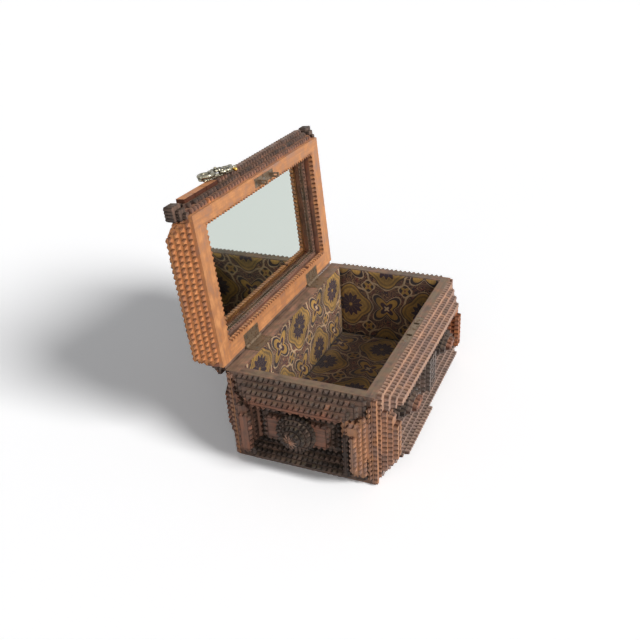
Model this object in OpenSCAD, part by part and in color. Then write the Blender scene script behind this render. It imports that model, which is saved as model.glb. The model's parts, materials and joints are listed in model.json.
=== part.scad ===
// Tramp art box: stepped layers of thin cigar-box wood over a plain core box, with a lining,
// a mirror in the lid, two butt hinges and a link-plate lock. The lid stands open.
// Millimetres, +Z up, front towards -Y, origin at the middle of the underside.

/* [Box] */
// Length of the rim, end to end
rim_l = 240; // [210:1:300]
// Depth of the rim, front to back
rim_d = 134; // [120:1:180]
// Height from the underside to the rim
body_h = 91; // [84:1:120]
// Thickness of the core boards
wall_t = 9; // [8:0.5:12]
// Thickness of the bottom board
floor_t = 8; // [5:0.5:12]
// Thickness of the lining panels
lining_t = 1.2; // [0.8:0.1:2]
// Distance of the lining's top edge below the rim
lining_drop = 0.8; // [0.6:0.1:2]

/* [Carved layers] */
// Thickness of one layer of wood
layer_t = 4; // [3:0.25:5]
// Layers in a rail or a post
layer_n = 4; // [2:1:4]
// Rise from one rail layer to the next
rail_step = 3.5; // [2.5:0.25:4]
// Shortening of a rail at each end, layer by layer
rail_end_step = 6; // [5:0.5:8]
// Height of the top rails' lower edge
rail_low = 69; // [66:1:72]
// Height of the bottom rails' upper edge
sill_top = 28.5; // [27:0.5:34]
// Width of a corner post on each side of its corner
post_w = 29; // [27:0.5:36]
// Set-back of a post layer from the corner, layer by layer
post_step = 3; // [2:0.25:4]
// Set-back of a post layer at its inner edge, layer by layer
post_inner_step = 3.5; // [2:0.25:4]
// Drop of a post layer's top, layer by layer
post_top_step = 8; // [5:0.5:9]
// Rise of a post layer's foot, layer by layer
post_foot_step = 5; // [3:0.5:6]
// Thickness of the strips that cover the core's corners
corner_t = 2.2; // [1.5:0.1:3]
// Drop of the corner strips below the rim, and their rise above the underside
corner_end = 1.5; // [1:0.25:4]
// Place along the front where the loose outer strip of the bottom rail has broken off
break_x = -12; // [-40:1:40]
// Clearance between neighbouring stacks
stack_gap = 0.3; // [0.2:0.1:0.8]
// Glue line between the layers of a stack
glue_line = 0.05; // [0.02:0.01:0.1]

/* [Panels] */
// Margin between a panel and the rails and posts round it
panel_gap = 0.6; // [0.3:0.1:1.5]
// Layers in an end panel
panel_n = 3; // [2:1:4]
// Step between panel layers
panel_step = 3.5; // [2.5:0.25:4]
// Radius of the largest disc of an end boss
boss_r = 18.5; // [14:0.5:19]
// Step between boss discs
boss_step = 3.5; // [2.5:0.25:4]
// Thickness of a boss disc
disc_t = 3.5; // [2.5:0.25:4]
// Discs in a boss
disc_n = 4; // [2:1:4]
// Width of the middle pier on the front
pier_w = 44; // [40:1:60]
// Layers in a lozenge
lozenge_n = 5; // [3:1:5]
// Step between lozenge layers
lozenge_step = 3.5; // [2.5:0.25:3.5]
// Layers in the back panel
back_panel_n = 2; // [1:1:3]
// Step between the back panel's layers
back_panel_step = 6; // [4:0.5:6]

/* [Lid] */
// Angle of the open lid from its closed place
open_angle = 94; // [91:0.5:95]
// Overhang of the lid's core past the rim at each end
lid_over_l = 1; // [0:0.25:2]
// Overhang of the lid's core past the rim at the front and back
lid_over_d = 2; // [1:0.25:2]
// Gap between the rim and the closed lid
lid_gap = 0.6; // [0.4:0.1:1]
// Thickness of the underside frame
frame_t = 4; // [3:0.25:5]
// Width of the underside frame at the ends
frame_end_w = 16; // [13:0.5:20]
// Width of the underside frame at the hinges
frame_back_w = 15; // [14:0.5:20]
// Width of the underside frame at the front
frame_front_w = 12; // [11:0.5:18]
// Set-back of the lid rails behind the frame's inner edge
reveal_set = 1.5; // [0.5:0.25:3]
// Depth from the underside to the mirror
mirror_depth = 13.5; // [11:0.5:16]
// Thickness of the mirror glass
glass_t = 2; // [1.5:0.25:3]
// Clearance round the mirror glass
glass_gap = 0.5; // [0.3:0.1:1]
// Width of the bead that holds the mirror
bead_w = 3; // [2:0.25:4]
// Height of the bead that holds the mirror
bead_t = 3; // [2:0.25:4]
// Thickness of the lid panel
lid_panel_t = 3; // [2:0.25:4]
// Layers on the front of the lid
lid_front_n = 3; // [2:1:4]
// Thickness of one layer on the front of the lid
lid_front_t = 3.5; // [3:0.25:5]
// Rise from one lid layer to the next
lid_step = 3.5; // [2.5:0.25:4]
// Shortening of a lid layer at each end, layer by layer
lid_end_step = 3; // [2:0.25:4]
// Layers of the stepped panel on top of the lid
top_n = 3; // [1:1:4]
// Thickness of a layer of the top panel
top_t = 3.5; // [2.5:0.25:4]
// Distance of the top panel from the lid's front and hinge edges
top_inset = 30; // [24:1:36]
// Step between layers of the top panel
top_step = 10; // [5:0.5:10]
// Gap left at the lid's stop between the strips of the lid and of the back
stop_gap = 0.4; // [0.3:0.1:1]

/* [Hinges] */
// Distance of each hinge from the middle
hinge_x = 68; // [40:1:85]
// Length of a hinge leaf
hinge_l = 27; // [20:1:36]
// Width of a leaf from the pin to its edge
hinge_w = 13; // [12:0.25:14]
// Thickness of a leaf
leaf_t = 1; // [0.8:0.1:1.2]
// Distance of the hinge pin behind the rim
pin_out = 4.2; // [4.2:0.1:6]
// Radius of a hinge pin
pin_r = 1; // [0.8:0.1:1.1]
// Running clearance of the pin in its knuckles
pin_fit = 0.05; // [0.02:0.01:0.09]
// Radius of a knuckle
knuckle_r = 2; // [1.8:0.1:2.1]
// Gap between neighbouring knuckles
knuckle_gap = 0.3; // [0.2:0.1:0.5]

/* [Lock] */
// Distance of each staple from the middle
staple_x = 11.5; // [9:0.5:14]
// Length of the lock plate
lock_l = 50; // [48:1:56]
// Width of the lock plate
lock_w = 7.4; // [7:0.1:7.6]
// Thickness of the lock plate and the link plate
plate_t = 1.2; // [1:0.1:1.6]
// Slot size along the rim
slot_l = 3.2; // [3:0.1:4]
// Slot size across the rim
slot_w = 5.6; // [5.4:0.1:5.8]
// Thickness of a staple
staple_t = 1.8; // [1.4:0.1:2]
// Width of a staple
staple_w = 4; // [3.6:0.1:4.2]
// Length of a staple below the link plate
staple_h = 9.4; // [8.5:0.1:11]
// Width of a staple's eye
eye_w = 2; // [1.8:0.1:2.2]
// Height of a staple's eye
eye_h = 4.4; // [4:0.1:5]
// Length of the link plate
link_l = 36; // [34:1:44]
// Width of the link plate
link_w = 8; // [7:0.1:9]
// Depth of the lock case below its plate
case_h = 21; // [18:1:26]
// Wall of the lock case
case_wall = 0.8; // [0.6:0.1:1]
// Travel of the bolt
bolt_travel = 4; // [3.5:0.1:4.5]
// Thickness of the bolt
bolt_t = 1.2; // [1:0.1:1.3]
// Height of the bolt's fingers
finger_h = 2.4; // [2:0.1:3]

/* [Ornament] */
// Place of the cast ornament along the lid's front edge
ornament_x = -52; // [-80:1:0]
// Length of the cast ornament
ornament_l = 36; // [28:1:40]
// Radius of the ornament's middle boss
ornament_r = 4.2; // [3.5:0.1:4.5]
// Radius of the ornament's scroll rings
scroll_r = 4.5; // [3.5:0.1:5]
// Thickness of the ornament's scroll rings, as a radius
scroll_t = 1.8; // [1.2:0.1:2]
// Radius of the ornament's end beads
end_bead_r = 2.5; // [1.8:0.1:3]
// Thickness of the ornament's back plate
ornament_t = 2; // [1.2:0.1:2.5]

/* [Hidden] */
$fn = 48;
half_l = rim_l / 2;
half_d = rim_d / 2;
fit_gap = 0.2;
leaf_part = 0.1;
// How far a cut runs past the face that it opens
cut_over = 1;
// Ends of the rails beside a post, and the panels' field between the rails
field_mid = (rail_low + sill_top) / 2;
field_low = sill_top + panel_gap;
field_high = rail_low - panel_gap;
end_field = half_d - post_w - panel_gap;
front_field = half_l - post_w - panel_gap;
lozenge_x = (front_field + pier_w / 2 + panel_gap) / 2;
lozenge_a = (front_field - pier_w / 2 - panel_gap) / 2;
lozenge_b = (field_high - field_low) / 2;
// Lid heights, measured up from its underside when closed
lid_z = body_h + lid_gap;
lid_half_l = half_l + lid_over_l;
lid_half_d = half_d + lid_over_d;
rail_top = mirror_depth + glass_t;
lid_wall = rail_top + lid_panel_t;
open_l = lid_half_l - frame_end_w;
open_back = lid_half_d - frame_back_w;
open_front = lid_half_d - frame_front_w;
hinge_y = half_d + pin_out;
// Start of the lid's back strips, set so that they meet the crest of the back rail at the open stop
back_crest = half_d + layer_n * layer_t;
back_reach = lid_half_d + layer_n * layer_t - hinge_y;
back_start = (back_crest + stop_gap - hinge_y - back_reach * cos(open_angle)) / sin(open_angle);
back_step = back_start / layer_n;
front_crest = lid_half_d + lid_front_n * lid_front_t;
// Lock, seen along the middle of the front rim
lock_y = -half_d + wall_t / 2;
lock_top = body_h - plate_t;
plate_lip = 0.5;
case_d = lock_w - 2 * plate_lip;
// Metal left below a staple's eye, and the depth of the bolt's bar below the eye
eye_rim = 1.2;
bar_drop = 7;
eye_z = lid_z - staple_h + eye_rim + eye_h / 2;
bar_top = eye_z - bar_drop;
// The bolt's fingers stand back from the staples at rest, and its case has room for it at both ends
hook_gap = 0.6;
hook_w = 1.8;
bolt_room = 0.4;
finger_tip = -staple_t / 2 - hook_gap;
bolt_reach = staple_x - finger_tip + bolt_travel + hook_w;
case_l = 2 * (bolt_reach + bolt_room + case_wall);
screw_r = 1.5;
screw_head = 0.7;
lock_screw_r = 1;
lock_screw_in = 1.4;
link_screw_in = 3;
shank_r = 0.75;
pilot_r = 0.8;
shank_l = 5;
short_shank = 2;
// Leaves lie just below and above the plane of the pins
leaf_low = lid_z - leaf_part - leaf_t;
lid_leaf_low = lid_z + leaf_part;
leaf_screw_in = 4;
leaf_screw_x = hinge_l / 3;
// One knuckle is a third of a hinge
knuckle_l = (hinge_l - 2 * knuckle_gap) / 3;
// Set-back of the corner blocks behind the lid's crest, and of the top panel's ends
block_set = 0.5;
top_end_set = 4;
// Margin of the ornament's plate behind its boss
plate_margin = 0.6;

// A block between two corners
module block(low, high) {
    translate(low) cube(high - low);
}

// A rectangle between two corners
module patch(low, high) {
    translate(low) square(high - low);
}

// Places a drawing on a side: x along it, y up it, z outwards
module on_side(turn, out) {
    rotate([0, 0, turn]) translate([0, -out, 0]) rotate([90, 0, 0]) children();
}

// The k-th layer of a stack
module layer(k, t) {
    translate([0, 0, (k - 1) * t]) linear_extrude(t - glue_line) children();
}

// Turns what is drawn closed to the open place
module opened() {
    translate([0, hinge_y, lid_z]) rotate([-open_angle, 0, 0])
        translate([0, -hinge_y, -lid_z]) children();
}

// Rail stepping outwards below the rim
module top_rail(turn, out, half) {
    on_side(turn, out) for (k = [1:layer_n]) layer(k, layer_t)
        patch([-half + rail_end_step * k, rail_low], [half - rail_end_step * k, body_h - rail_step * k]);
}

// Rail stepping outwards above the underside
module bottom_rail(turn, out, half) {
    on_side(turn, out) for (k = [1:layer_n]) layer(k, layer_t)
        patch([-half + rail_end_step * k, rail_step * k],
            [half - rail_end_step * k, sill_top - rail_step * (k - 1)]);
}

// One side of a corner post: full height beside the rails, and as wide as the post between them
module post_side(turn, out, half, hand) {
    on_side(turn, out) for (k = [1:layer_n]) layer(k, layer_t) mirror([hand < 0 ? 1 : 0, 0]) {
        outer = half - post_step * k;
        foot = post_foot_step * k;
        head = body_h - post_top_step * k;
        patch([half - rail_end_step * k + stack_gap, foot], [outer, head]);
        inner = half - post_w + post_inner_step * (k - 1);
        sill = sill_top - rail_step * (k - 1) + stack_gap;
        patch([inner, max(foot, sill)], [outer, min(head, rail_low - stack_gap)]);
    }
}

// Stepped rectangular panel between the rails
module stepped_panel(turn, out, half, count, step) {
    on_side(turn, out) for (k = [1:count]) layer(k, layer_t) {
        inset = step * (k - 1);
        patch([-half + inset, field_low + inset], [half - inset, field_high - inset]);
    }
}

// Dome of stacked discs on an end panel
module boss(turn) {
    on_side(turn, half_l + panel_n * layer_t) for (k = [1:disc_n]) layer(k, disc_t)
        translate([0, field_mid]) circle(boss_r - boss_step * (k - 1));
}

// Butt hinge knuckle along the pin, from one end to the other
module knuckle(from) {
    translate([from, hinge_y, lid_z]) rotate([0, 90, 0]) cylinder(r = knuckle_r, h = knuckle_l);
}

// Bore for a hinge pin
module pin_bore() {
    translate([-hinge_l, hinge_y, lid_z]) rotate([0, 90, 0])
        cylinder(r = pin_r + pin_fit, h = 2 * hinge_l);
}

// Two hinges
module hinges() {
    for (s = [-1, 1]) translate([s * hinge_x, 0, 0]) children();
}

// Places of the screws on a leaf
module leaf_screws() {
    hinges() for (s = [-1, 1])
        translate([s * leaf_screw_x, hinge_y - hinge_w + leaf_screw_in, 0]) children();
}

// Screw holes of one leaf
module leaf_holes(low) {
    for (s = [-1, 1])
        translate([s * leaf_screw_x, hinge_y - hinge_w + leaf_screw_in, low - cut_over])
            cylinder(r = screw_r + fit_gap, h = leaf_t + 2 * cut_over);
}

// Pocket for a leaf, with a little room round it
module leaf_pocket(low, high) {
    hinges() block([-hinge_l / 2 - fit_gap, hinge_y - hinge_w - fit_gap, low],
        [hinge_l / 2 + fit_gap, hinge_y, high]);
}

module bottom_board() {
    color("saddlebrown")
        block([-half_l + wall_t, -half_d + wall_t, 0], [half_l - wall_t, half_d - wall_t, floor_t]);
}

module front_board() {
    color("rosybrown") difference() {
        block([-half_l, -half_d, 0], [half_l, -half_d + wall_t, body_h]);
        lock_screw_places() translate([0, 0, lock_top - shank_l - fit_gap])
            cylinder(r = pilot_r, h = shank_l + cut_over);
        translate([0, lock_y, 0]) {
            block([-lock_l / 2 - fit_gap, -lock_w / 2 - fit_gap, lock_top],
                [lock_l / 2 + fit_gap, lock_w / 2 + fit_gap, body_h + cut_over]);
            block([-case_l / 2 - fit_gap, -case_d / 2 - fit_gap, lock_top - case_h - fit_gap],
                [case_l / 2 + fit_gap, case_d / 2 + fit_gap, body_h]);
        }
    }
}

module back_board() {
    color("rosybrown") difference() {
        block([-half_l, half_d - wall_t, 0], [half_l, half_d, body_h]);
        leaf_pocket(leaf_low, body_h + cut_over);
        leaf_screws() translate([0, 0, leaf_low - shank_l - fit_gap])
            cylinder(r = pilot_r, h = shank_l + cut_over);
    }
}

module left_board() {
    color("rosybrown")
        block([-half_l, -half_d + wall_t, 0], [-half_l + wall_t, half_d - wall_t, body_h]);
}

module right_board() {
    color("rosybrown")
        block([half_l - wall_t, -half_d + wall_t, 0], [half_l, half_d - wall_t, body_h]);
}

module lining_floor() {
    color("darkkhaki")
        block([-half_l + wall_t, -half_d + wall_t, floor_t],
            [half_l - wall_t, half_d - wall_t, floor_t + lining_t]);
}

module lining_side(s) {
    y = s * (half_d - wall_t - lining_t / 2);
    color("darkkhaki") translate([0, y, 0])
        block([-half_l + wall_t, -lining_t / 2, floor_t + lining_t],
            [half_l - wall_t, lining_t / 2, body_h - lining_drop]);
}

module lining_end(s) {
    x = s * (half_l - wall_t - lining_t / 2);
    inner = half_d - wall_t - lining_t;
    color("darkkhaki") translate([x, 0, 0])
        block([-lining_t / 2, -inner, floor_t + lining_t], [lining_t / 2, inner, body_h - lining_drop]);
}

module lining_front() {
    lining_side(-1);
}

module lining_back() {
    lining_side(1);
}

module lining_left() {
    lining_end(-1);
}

module lining_right() {
    lining_end(1);
}

// Corner post: one stack on the long side and one on the end
module post(long_turn, long_hand, end_turn, end_hand) {
    color("peru") {
        post_side(long_turn, half_d, half_l, long_hand);
        post_side(end_turn, half_l, half_d, end_hand);
    }
}

// Thin strips over the core's corners; those on the long sides cover the ends' edges
module corner_strips() {
    height = body_h - 2 * corner_end;
    width = post_step - stack_gap;
    color("peru") for (x = [0, 1]) for (y = [0, 1]) mirror([x, 0, 0]) mirror([0, y, 0]) {
        translate([half_l - width, half_d, corner_end]) cube([width + corner_t, corner_t, height]);
        translate([half_l, half_d - width, corner_end]) cube([corner_t, width - glue_line, height]);
    }
}

module post_front_left() {
    post(0, -1, -90, 1);
}

module post_front_right() {
    post(0, 1, 90, -1);
}

module post_back_left() {
    post(180, 1, -90, -1);
}

module post_back_right() {
    post(180, -1, 90, 1);
}

module left_top_rail() {
    color("dimgray") top_rail(-90, half_l, half_d);
}

module left_bottom_rail() {
    color("dimgray") bottom_rail(-90, half_l, half_d);
}

module left_panel() {
    color("sienna") stepped_panel(-90, half_l, end_field, panel_n, panel_step);
}

module left_boss() {
    color("rosybrown") boss(-90);
}

module right_top_rail() {
    color("dimgray") top_rail(90, half_l, half_d);
}

module right_bottom_rail() {
    color("dimgray") bottom_rail(90, half_l, half_d);
}

module right_panel() {
    color("sienna") stepped_panel(90, half_l, end_field, panel_n, panel_step);
}

module right_boss() {
    color("rosybrown") boss(90);
}

module front_top_rail() {
    color("rosybrown") top_rail(0, half_d, half_l);
}

module front_bottom_rail() {
    color("rosybrown") bottom_rail(0, half_d, half_l);
}

// What is left of a fifth layer on the front's bottom rail
module front_outer_strip() {
    color("rosybrown") on_side(0, half_d) layer(layer_n + 1, layer_t)
        patch([-half_l + rail_end_step * (layer_n + 1), rail_step * layer_n],
            [break_x, sill_top - rail_step * (layer_n - 1)]);
}

module front_pier() {
    color("indianred") on_side(0, half_d) for (k = [1:layer_n]) layer(k, layer_t) {
        half = pier_w / 2 - panel_step * (k - 1);
        patch([-half, field_low], [half, field_high]);
    }
}

module front_lozenges() {
    color("indianred") on_side(0, half_d) for (s = [-1, 1]) translate([s * lozenge_x, field_mid, 0])
        for (k = [1:lozenge_n]) layer(k, layer_t) {
            a = lozenge_a - lozenge_step * (k - 1);
            b = lozenge_b - lozenge_step * (k - 1);
            polygon([[a, 0], [0, b], [-a, 0], [0, -b]]);
        }
}

module back_top_rail() {
    color("dimgray") top_rail(180, half_d, half_l);
}

module back_bottom_rail() {
    color("dimgray") bottom_rail(180, half_d, half_l);
}

module back_panel() {
    color("sienna") stepped_panel(180, half_d, front_field, back_panel_n, back_panel_step);
}

// Screws that hold the lock plate, outside the case
module lock_screw_places() {
    for (s = [-1, 1]) translate([s * (lock_l / 2 - lock_screw_in), lock_y, 0]) children();
}

module lock_plate() {
    color("gray") difference() {
        translate([0, lock_y, 0])
            block([-lock_l / 2, -lock_w / 2, lock_top], [lock_l / 2, lock_w / 2, body_h]);
        for (s = [-1, 1]) translate([s * staple_x, lock_y, 0])
            block([-slot_l / 2, -slot_w / 2, lock_top - cut_over],
                [slot_l / 2, slot_w / 2, body_h + cut_over]);
        lock_screw_places() {
            translate([0, 0, body_h - screw_head])
                cylinder(r = lock_screw_r + fit_gap, h = screw_head + cut_over);
            translate([0, 0, lock_top - cut_over]) cylinder(r = pilot_r, h = plate_t + cut_over);
        }
    }
}

module lock_case() {
    color("dimgray") translate([0, lock_y, 0]) difference() {
        block([-case_l / 2, -case_d / 2, lock_top - case_h], [case_l / 2, case_d / 2, lock_top]);
        block([-case_l / 2 + case_wall, -case_d / 2 + case_wall, lock_top - case_h + case_wall],
            [case_l / 2 - case_wall, case_d / 2 - case_wall, lock_top + cut_over]);
    }
}

// Bolt: a bar on the floor of the case with two hooked fingers, drawn back to the left
module lock_bolt() {
    low = lock_top - case_h + case_wall;
    hook = finger_tip - bolt_travel;
    color("silver") translate([0, lock_y, 0]) {
        block([-bolt_reach, -bolt_t / 2, low], [bolt_reach - bolt_travel, bolt_t / 2, bar_top]);
        for (s = [-1, 1]) translate([s * staple_x, 0, 0]) {
            block([hook - hook_w, -bolt_t / 2, low], [hook, bolt_t / 2, eye_z + finger_h / 2]);
            block([hook - hook_w / 2, -bolt_t / 2, eye_z - finger_h / 2],
                [finger_tip, bolt_t / 2, eye_z + finger_h / 2]);
        }
    }
}

module lock_screws() {
    color("gray") lock_screw_places() {
        translate([0, 0, body_h - screw_head]) cylinder(r = lock_screw_r, h = screw_head);
        translate([0, 0, lock_top - shank_l]) cylinder(r = shank_r, h = shank_l + plate_t - fit_gap);
    }
}

// Box leaf: flat plate in the rim with the two outer knuckles
module hinge_box_leaves() {
    color("gray") hinges() difference() {
        union() {
            block([-hinge_l / 2, hinge_y - hinge_w, leaf_low],
                [hinge_l / 2, hinge_y - knuckle_r - fit_gap, leaf_low + leaf_t]);
            for (from = [-hinge_l / 2, hinge_l / 2 - knuckle_l]) {
                knuckle(from);
                block([from, hinge_y - hinge_w, leaf_low], [from + knuckle_l, hinge_y, leaf_low + leaf_t]);
            }
        }
        pin_bore();
        leaf_holes(leaf_low);
    }
}

module hinge_pins() {
    color("silver") hinges() translate([-hinge_l / 2, hinge_y, lid_z]) rotate([0, 90, 0])
        cylinder(r = pin_r, h = hinge_l);
}

module hinge_box_screws() {
    color("silver") leaf_screws() {
        translate([0, 0, leaf_low]) cylinder(r = screw_r, h = leaf_t - fit_gap);
        translate([0, 0, leaf_low - shank_l]) cylinder(r = shank_r, h = shank_l + leaf_t / 2);
    }
}

module lid_panel() {
    color("saddlebrown") opened() block([-lid_half_l, -lid_half_d, lid_z + rail_top],
        [lid_half_l, lid_half_d, lid_z + lid_wall]);
}

module lid_front_rail() {
    color("sienna") opened() block([-lid_half_l, -lid_half_d, lid_z + frame_t],
        [lid_half_l, -open_front - reveal_set, lid_z + rail_top]);
}

module lid_back_rail() {
    color("sienna") opened() block([-lid_half_l, open_back + reveal_set, lid_z + frame_t],
        [lid_half_l, lid_half_d, lid_z + rail_top]);
}

module lid_end_rail(s) {
    w = frame_end_w - reveal_set;
    color("sienna") opened() translate([s * (lid_half_l - w / 2), 0, 0])
        block([-w / 2, -open_front - reveal_set, lid_z + frame_t],
            [w / 2, open_back + reveal_set, lid_z + rail_top]);
}

module lid_left_rail() {
    lid_end_rail(-1);
}

module lid_right_rail() {
    lid_end_rail(1);
}

module frame_front() {
    color("chocolate") opened() difference() {
        block([-lid_half_l, -lid_half_d, lid_z], [lid_half_l, -open_front, lid_z + frame_t]);
        translate([0, lock_y, 0]) block([-link_l / 2 - fit_gap, -link_w / 2 - fit_gap, lid_z - cut_over],
            [link_l / 2 + fit_gap, link_w / 2 + fit_gap, lid_z + plate_t]);
        link_screw_places() cylinder(r = pilot_r, h = plate_t + short_shank + fit_gap);
    }
}

module frame_back() {
    color("chocolate") opened() difference() {
        block([-open_l, open_back, lid_z], [open_l, lid_half_d, lid_z + frame_t]);
        leaf_pocket(lid_z - cut_over, lid_leaf_low + leaf_t);
        leaf_screws() translate([0, 0, lid_z])
            cylinder(r = pilot_r, h = leaf_t + short_shank + 2 * fit_gap);
    }
}

module frame_end(s) {
    color("chocolate") opened() translate([s * (lid_half_l - frame_end_w / 2), 0, 0])
        block([-frame_end_w / 2, -open_front, lid_z], [frame_end_w / 2, lid_half_d, lid_z + frame_t]);
}

module frame_left() {
    frame_end(-1);
}

module frame_right() {
    frame_end(1);
}

// Notched strips round the lid, stepping outwards from the frame to the top
module lid_strips(turn, out, half, count, t, step) {
    color("peru") opened() translate([0, 0, lid_z]) on_side(turn, out) for (k = [1:count]) layer(k, t)
        patch([-half + lid_end_step * k, step * k], [half - lid_end_step * k, lid_wall]);
}

module lid_front_strips() {
    lid_strips(0, lid_half_d, lid_half_l, lid_front_n, lid_front_t, lid_step);
}

module lid_back_strips() {
    lid_strips(180, lid_half_d, lid_half_l, layer_n, layer_t, back_step);
}

module lid_left_strips() {
    lid_strips(-90, lid_half_l, lid_half_d, layer_n, layer_t, lid_step);
}

module lid_right_strips() {
    lid_strips(90, lid_half_l, lid_half_d, layer_n, layer_t, lid_step);
}

// Small stepped plates that wrap the lid's two front corners
module lid_corner_blocks() {
    color("dimgray") opened() for (s = [-1, 1]) for (k = [1:lid_front_n]) {
        reach = k * lid_front_t - block_set;
        back = lid_end_step - stack_gap;
        top = k == lid_front_n ? lid_wall : lid_step * (k + 1);
        translate([s * lid_half_l, -lid_half_d, lid_z + lid_step * k]) mirror([s < 0 ? 1 : 0, 0, 0])
            linear_extrude(top - lid_step * k - glue_line)
                polygon([[-back, -reach], [reach, -reach], [reach, back], [0, back], [0, 0], [-back, 0]]);
    }
}

module lid_top_panel() {
    color("dimgray") opened() translate([0, 0, lid_z + lid_wall]) for (k = [1:top_n]) layer(k, top_t) {
        x = lid_half_l + layer_n * layer_t - top_end_set - top_step * (k - 1);
        y = lid_half_d - top_inset - top_step * (k - 1);
        patch([-x, -y], [x, y]);
    }
}

module mirror_glass() {
    color("lightsteelblue") opened() block(
        [-open_l - reveal_set + glass_gap, -open_front - reveal_set + glass_gap, lid_z + mirror_depth],
        [open_l + reveal_set - glass_gap, open_back + reveal_set - glass_gap, lid_z + rail_top]);
}

// Beads glued round the inside of the lid rails, in front of the glass
module mirror_beads() {
    low = lid_z + mirror_depth - bead_t;
    high = lid_z + mirror_depth;
    x = open_l + reveal_set;
    front = -open_front - reveal_set;
    back = open_back + reveal_set;
    color("sienna") opened() {
        block([-x, front, low], [x, front + bead_w, high]);
        block([-x, back - bead_w, low], [x, back, high]);
        block([-x, front + bead_w, low], [-x + bead_w, back - bead_w, high]);
        block([x - bead_w, front + bead_w, low], [x, back - bead_w, high]);
    }
}

// Link plate with two eyed staples that drop through the lock plate
module link_plate() {
    color("gray") opened() difference() {
        union() {
            translate([0, lock_y, lid_z])
                block([-link_l / 2, -link_w / 2, 0], [link_l / 2, link_w / 2, plate_t]);
            for (s = [-1, 1]) translate([s * staple_x, lock_y, lid_z])
                block([-staple_t / 2, -staple_w / 2, -staple_h], [staple_t / 2, staple_w / 2, plate_t]);
        }
        for (s = [-1, 1]) translate([s * staple_x, lock_y, eye_z])
            block([-staple_t, -eye_w / 2, -eye_h / 2], [staple_t, eye_w / 2, eye_h / 2]);
        link_screw_places() translate([0, 0, -cut_over])
            cylinder(r = screw_r + fit_gap, h = plate_t + 2 * cut_over);
    }
}

// Places of the link plate's screws
module link_screw_places() {
    for (s = [-1:1]) translate([s * (link_l / 2 - link_screw_in), lock_y, lid_z]) children();
}

module link_screws() {
    color("silver") opened() link_screw_places() {
        cylinder(r = screw_r, h = plate_t);
        cylinder(r = shank_r, h = plate_t + short_shank);
    }
}

// Lid leaf: flat plate in the frame with the middle knuckle
module hinge_lid_leaves() {
    color("gray") opened() hinges() difference() {
        union() {
            block([-hinge_l / 2, hinge_y - hinge_w, lid_leaf_low],
                [hinge_l / 2, hinge_y - knuckle_r - fit_gap, lid_leaf_low + leaf_t]);
            knuckle(-knuckle_l / 2);
            block([-knuckle_l / 2, hinge_y - hinge_w, lid_leaf_low],
                [knuckle_l / 2, hinge_y, lid_leaf_low + leaf_t]);
        }
        pin_bore();
        leaf_holes(lid_leaf_low);
    }
}

module hinge_lid_screws() {
    color("silver") opened() leaf_screws() translate([0, 0, lid_leaf_low]) {
        translate([0, 0, fit_gap]) cylinder(r = screw_r, h = leaf_t - fit_gap);
        translate([0, 0, leaf_t / 2]) cylinder(r = shank_r, h = short_shank + leaf_t / 2);
    }
}

// Cast scroll ornament on the front crest of the lid: a plate, two rings and three beads
module pull_ornament() {
    half = ornament_l / 2;
    plate_r = ornament_r - plate_margin;
    mid = lid_z + lid_wall - ornament_r;
    color("darkkhaki") opened() translate([ornament_x, -front_crest, mid]) rotate([90, 0, 0]) difference() {
        union() {
            block([-half, -plate_r, 0], [half, plate_r, ornament_t]);
            translate([0, 0, ornament_t]) {
                sphere(ornament_r);
                for (s = [-1, 1]) {
                    translate([s * (ornament_r + scroll_r), 0, 0])
                        rotate_extrude() translate([scroll_r, 0]) circle(scroll_t);
                    translate([s * (half - scroll_t), 0, 0]) sphere(end_bead_r);
                }
            }
        }
        block([-ornament_l, -ornament_l, -ornament_l], [ornament_l, ornament_l, 0]);
    }
}

bottom_board();
front_board();
back_board();
left_board();
right_board();
lining_floor();
lining_front();
lining_back();
lining_left();
lining_right();
corner_strips();
post_front_left();
post_front_right();
post_back_left();
post_back_right();
left_top_rail();
left_bottom_rail();
left_panel();
left_boss();
right_top_rail();
right_bottom_rail();
right_panel();
right_boss();
front_top_rail();
front_bottom_rail();
front_outer_strip();
front_pier();
front_lozenges();
back_top_rail();
back_bottom_rail();
back_panel();
lock_plate();
lock_case();
lock_bolt();
lock_screws();
hinge_box_leaves();
hinge_pins();
hinge_box_screws();
lid_panel();
lid_front_rail();
lid_back_rail();
lid_left_rail();
lid_right_rail();
frame_front();
frame_back();
frame_left();
frame_right();
lid_front_strips();
lid_back_strips();
lid_left_strips();
lid_right_strips();
lid_corner_blocks();
lid_top_panel();
mirror_glass();
mirror_beads();
link_plate();
link_screws();
hinge_lid_leaves();
hinge_lid_screws();
pull_ornament();
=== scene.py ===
# %% [markdown]
# # A notch-carved box
# The box is built up from thin boards of cigar-box wood, glued in steps over a plain core, with every
# edge cut into small notches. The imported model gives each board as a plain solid. This script keeps
# those places and sizes, and adds the carving, the finishes, the cloth lining and the light.

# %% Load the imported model
import json
import math

import bmesh
import bpy
import numpy as np
from mathutils import Matrix, Vector


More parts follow.
